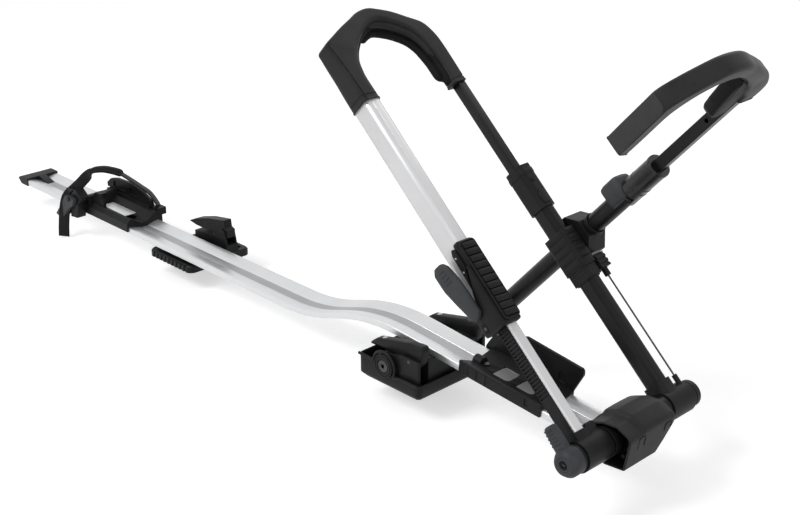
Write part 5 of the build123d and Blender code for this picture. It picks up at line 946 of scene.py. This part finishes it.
# Hinge cover: one outline carried along the hub, with a raised middle, a lower edge that climbs at the far end
# and a recess at the near end; rows are y, lift of the top, inset
coverLook = {
    "rows": [(-30.0, -7, 3.4), (-55.4, -7, 3.2), (-56.0, -7, 2.2), (-55.8, -7, 1.0), (-54.6, -7, 0.0),
             (-33.0, -7, 0.0), (-30.0, -6.4, 0.0), (-27.0, -3.0, 0.0), (-24.0, -0.6, 0.0), (-21.0, 0.0, 0.0),
             (-4.0, 0.6, 0.0), (14.0, 0.4, 0.0), (28.0, 0.0, 0.0), (34.0, -1.0, 0.0), (39.0, -3.0, 0.0),
             (43.0, -4.0, 0.0), (44.4, -4.0, 0.8), (45.0, -4.0, 2.4)],
    "round": [3, 5, 12, 9, 14, 5, 3, 3], "foot": 29.5, "toe": 33.0,
    "climbFrom": 14.0, "climbOver": 31.0, "climb": 43.5,
    "recess": {"outline": [(400, 34), (431, 37), (438, 80), (416, 91), (396, 89), (378, 81), (400, 66)],
               "round": [3, 4, 9, 7, 9, 3, 3], "low": 29.5, "high": 31.0, "edge": 0.3},
    "bosses": [(423, 47, 4.2, "darkPlastic"), (431, 62, 3.2, "darkSteel"), (428, 84, 3.6, "darkPlastic")],
}


def coverOutline(along, lift):
    # The lower edge climbs past climbFrom, and its front corner moves out along the cover's sloping face
    past = max(along - coverLook["climbFrom"], 0.0)
    climb = coverLook["foot"] + past / coverLook["climbOver"] * coverLook["climb"]
    toe = max(coverLook["toe"], climb)
    return [(398, climb), (435 + 8.6 * (toe - 33) / 56.3, toe), (443.6, 88 + 0.5 * lift),
            (418, 101 + 0.8 * lift), (394.5, 100 + lift), (372, 91 + lift), (372, 80),
            (398, max(63.0, climb + 4.0))]


coverRings = []
for along, lift, inset in coverLook["rows"]:
    loop = insetLoop(roundedLoop(coverOutline(along, lift), coverLook["round"], 7), inset)
    coverRings.append(ringAt(loop, -along))
ringsPiece("hingeShell", placed(np.stack(coverRings), sideFrame), "shellPlastic", "carrier_frame", 38.0,
           "hinge_cover")
slab("shellRecess", coverLook["recess"], sideFrame, "softPad", "carrier_frame")
for number, (spotX, spotZ, size, finish) in enumerate(coverLook["bosses"], 1):
    bossProfile = [(30, size), (44, size - 0.4), (45, size - 1.2), (43.5, size - 1.8), (43.5, 0.1)]
    lathe("shellBoss" + str(number), {"profile": bossProfile, "centre": (spotX, spotZ), "count": 24}, sideFrame,
          finish, "carrier_frame")

# Two clips on the cover's front face, each a slot with a tongue in it and a line round it; rows are place, leg
clipLook = {
    "clips": [(-28.7, 15.0), (29.5, 9.0)],
    "slot": {"round": 1.6, "low": -1.0, "high": 0.3, "edge": 0.2}, "slotHalf": 8,
    "tongue": {"round": 1.0, "low": -0.6, "high": 0.6, "edge": 0.3}, "tongueHalf": 5.6,
    "top": 2.5, "tongueBottom": -1.5, "line": 0.8,
}
faceFrame = (np.array([441.6, 0.0, 76.0]) * mm, acrossDir, np.array([0.151, 0.0, 0.9885]),
             np.array([0.9885, 0.0, -0.151]))
for number, (spot, leg) in enumerate(clipLook["clips"], 1):
    top, slotHalf, tongueHalf = clipLook["top"], clipLook["slotHalf"], clipLook["tongueHalf"]
    slot = dict(clipLook["slot"], outline=box((spot - slotHalf, -top), (spot + slotHalf, top)))
    tongueOutline = box((spot - tongueHalf, clipLook["tongueBottom"]), (spot + tongueHalf, top))
    tongue = dict(clipLook["tongue"], outline=tongueOutline)
    slab("clipSlot" + str(number), slot, faceFrame, "softPad", "carrier_frame")
    slab("clipTongue" + str(number), tongue, faceFrame, "shellPlastic", "carrier_frame")
    clipLine = np.array([(-7, -leg), (-7, -leg / 2), (-7, 0), (-6.4, 2.4), (0, 2.8), (6.4, 2.4), (7, 0),
                         (7, 1.5 - leg)])
    bead("clipLine" + str(number), ringAt(clipLine + np.array([spot, 0.0]), 0.1), clipLook["line"], faceFrame,
         "softPad", "carrier_frame")
housingLook = {
    "outline": [(346, 31.7), (398, 33), (418, 38), (427, 62), (419, 87), (398, 93), (368, 83), (346, 55.7)],
    "round": [2, 8, 14, 20, 14, 8, 8, 3], "low": -45.0, "high": 29.0, "edge": 2.0, "steps": 7,
}
slab("hingeHousing", housingLook, sideFrame, "darkPlastic", "carrier_frame", "hinge_housing")
print("hinge made")

# Wheel strap: a flat band with round edges over the arch and down to the buckle; rows are along, up
strapLook = {
    "start": (-789.0, 45.0, 0.0), "run": (-163.136, -103.13, 0.0), "span": 193.0, "count": 120,
    "path": [(0, 50), (0, 58.8), (15, 80), (34.9, 93), (53, 104), (73.9, 115), (90, 118.6), (106.9, 120),
             (128.9, 116.5), (139.9, 111), (152, 98.5), (164, 86), (178.9, 72), (193, 58.8), (201, 42),
             (206, 18), (210, -10), (212, -33)],
    "section": box((-11.0, -3.0), (11.0, 0.0)), "round": 1.2, "turnFrom": 7.5, "turnOver": 3.0,
    "broadAcross": (-0.661, 0.640, -0.392),
}
strapDir = np.array(strapLook["run"]) / strapLook["span"]
strapSide = np.array([-strapDir[1], strapDir[0], 0.0])
strapFrame = (np.array(strapLook["start"]) * mm, strapDir, upDir, strapSide)
strapSpots = np.linspace(0, len(strapLook["path"]) - 1, strapLook["count"])
strapLine = smoothStations(strapLook["path"], strapSpots)
strapPath = strapFrame[0] + (strapLine[:, 0:1] * strapDir + strapLine[:, 1:2] * upDir) * mm
strapWalk = np.gradient(strapPath, axis=0)
strapWalk /= np.linalg.norm(strapWalk, axis=1)[:, None]
# The band turns a quarter on its way down: its width goes from sideways to square to broadAcross
faceLine = np.array(strapLook["broadAcross"])
broadWay = np.cross(strapWalk, faceLine)
broadWay /= np.linalg.norm(broadWay, axis=1)[:, None]
broadWay *= np.sign(broadWay @ alongDir)[:, None]
turned = np.clip((strapSpots - strapLook["turnFrom"]) / strapLook["turnOver"], 0, 1)[:, None]
turned = turned * turned * (3 - 2 * turned)
startWay = 0.5 * strapSide - 0.5 * faceLine * np.sign(faceLine @ -strapSide)
strapWide = startWay * (1 - turned) + broadWay * turned
strapWide -= strapWalk * (strapWide * strapWalk).sum(1)[:, None]
strapWide /= np.linalg.norm(strapWide, axis=1)[:, None]
strapLift = np.cross(strapWide, strapWalk)
strapLift *= 1 if strapLift[:, 2].sum() > 0 else -1
strapLoop = roundedLoop(strapLook["section"], strapLook["round"], 5)
strapRings = strapPath[:, None, :] + (strapWide[:, None, :] * strapLoop[None, :, 0:1]
                                      + strapLift[:, None, :] * strapLoop[None, :, 1:2]) * mm
ringsPiece("wheelStrap", strapRings, "strapRubber", "wheel_holder", 50.0, "holder_strap")

# Ladder ribs on the strap's rear part
strapRibLook = {
    "stations": range(68, 86, 2), "outline": box((-1.1, -9.2), (1.1, 9.2)), "round": 0.9,
    "low": -0.9, "high": 0.9, "edge": 0.4, "steps": 4,
}
for number, index in enumerate(strapRibLook["stations"], 1):
    walkDir, wideDir = strapWalk[index], strapWide[index]
    topDir = np.cross(walkDir, wideDir) * np.sign(np.cross(wideDir, walkDir)[2])
    slab("strapRib" + str(number), strapRibLook, (strapPath[index], walkDir, wideDir, topDir), "strapRubber",
         "wheel_holder")

# A light plate in the window of the wheel holder
windowLook = {"outline": box((-888, -21), (-807, 5)), "round": 2, "low": 42.4, "high": 44.0, "edge": 0.4}
slab("windowPlate", windowLook, upFrame, "trayMetal", "wheel_holder")

# A thick rounded pad under the strap's crown
strapPadLook = {
    "side": 1, "thick": 9.2, "end": 0.12, "count": 50,
    "path": [(71, 110.2, 0, 9.8), (82, 113.4, 0, 9.8), (95, 115.6, 0, 9.8), (107, 116.6, 0, 9.8),
             (118, 115.6, 0, 9.8), (129, 113.2, 0, 9.8), (139, 108, 0, 9.8)],
}
padAlong("strapPad", strapPadLook, strapFrame, "softPad", "wheel_holder", "strap_pad")
print("strap made")

# Stage: a pale floor, a white world for the background and for reflections, and soft lamps
stageLook = {
    "floorHeight": -36.0 * mm, "floorSize": 14.0, "floorColour": (0.72, 0.72, 0.72, 1.0), "floorRough": 0.9,
    "floorGlow": 0.56, "ambient": 0.36, "white": (1.0, 1.0, 1.0, 1.0),
    "lamps": {
        "key": {"place": (-1.2, -2.6, 3.2), "aim": (0.0, 0.0, 0.3), "size": 1.5, "power": 78.0},
        "fill": {"place": (3.4, -0.9, 2.0), "aim": (0.1, 0.0, 0.3), "size": 1.8, "power": 28.0},
        "back": {"place": (-0.8, 3.0, 2.6), "aim": (0.0, 0.0, 0.3), "size": 2.0, "power": 13.0},
    },
}


def seenDirectly(tree):
    # 1 for rays of the camera, gloss and transmission, and 0 for the rest
    lightPath = tree.nodes.new("ShaderNodeLightPath")
    seen = lightPath.outputs["Is Camera Ray"]
    for ray in ("Is Glossy Ray", "Is Transmission Ray"):
        either = tree.nodes.new("ShaderNodeMath")
        either.operation = "MAXIMUM"
        tree.links.new(seen, either.inputs[0])
        tree.links.new(lightPath.outputs[ray], either.inputs[1])
        seen = either.outputs["Value"]
    return seen


half = stageLook["floorSize"] / 2
floorMesh = bpy.data.meshes.new("floor")
floorMesh.from_pydata([(x, y, 0.0) for x, y in box((-half, -half), (half, half))], [], [(0, 1, 2, 3)])
floor = linked("floor", floorMesh)
floor.location.z = stageLook["floorHeight"]
floorMaterial, floorTree, floorSockets = newMaterial("floorPaint")
floorSockets["Base Color"].default_value = stageLook["floorColour"]
floorSockets["Roughness"].default_value = stageLook["floorRough"]
floorSockets["Emission Color"].default_value = stageLook["white"]
glow = rangeOf(floorTree, seenDirectly(floorTree), 0.0, stageLook["floorGlow"])
floorTree.links.new(glow, floorSockets["Emission Strength"])
floorMesh.materials.append(floorMaterial)

world = bpy.context.scene.world or bpy.data.worlds.new("world")
bpy.context.scene.world = world
world.use_nodes = True
sky = world.node_tree
sky.nodes.clear()
skyMix = sky.nodes.new("ShaderNodeMixShader")
sky.links.new(seenDirectly(sky), skyMix.inputs["Fac"])
for socket, strength in ((1, stageLook["ambient"]), (2, 1.0)):
    background = sky.nodes.new("ShaderNodeBackground")
    background.inputs["Color"].default_value = stageLook["white"]
    background.inputs["Strength"].default_value = strength
    sky.links.new(background.outputs["Background"], skyMix.inputs[socket])
skyOut = sky.nodes.new("ShaderNodeOutputWorld")
sky.links.new(skyMix.outputs["Shader"], skyOut.inputs["Surface"])

for lampName, lampLook in stageLook["lamps"].items():
    lamp = bpy.data.lights.new(lampName, "AREA")
    lamp.shape = "SQUARE"
    lamp.size = lampLook["size"]
    lamp.energy = lampLook["power"]
    lampObject = linked(lampName, lamp)
    lampObject.location = lampLook["place"]
    aim = Vector(lampLook["aim"]) - Vector(lampLook["place"])
    lampObject.rotation_euler = aim.to_track_quat("-Z", "Y").to_euler()

cameraLook = {"place": (1.3396, -1.3489, 1.0047), "tilt": 66.94, "turn": 45.93, "lens": 60.73, "sensor": 36.0}
camera = bpy.data.cameras.new("camera")
camera.lens = cameraLook["lens"]
camera.sensor_width = cameraLook["sensor"]
cameraObject = linked("camera", camera)
cameraObject.location = cameraLook["place"]
cameraObject.rotation_euler = (radians(cameraLook["tilt"]), 0.0, radians(cameraLook["turn"]))
bpy.context.scene.camera = cameraObject
bpy.context.scene.view_settings.view_transform = "Standard"
print("stage and camera set")
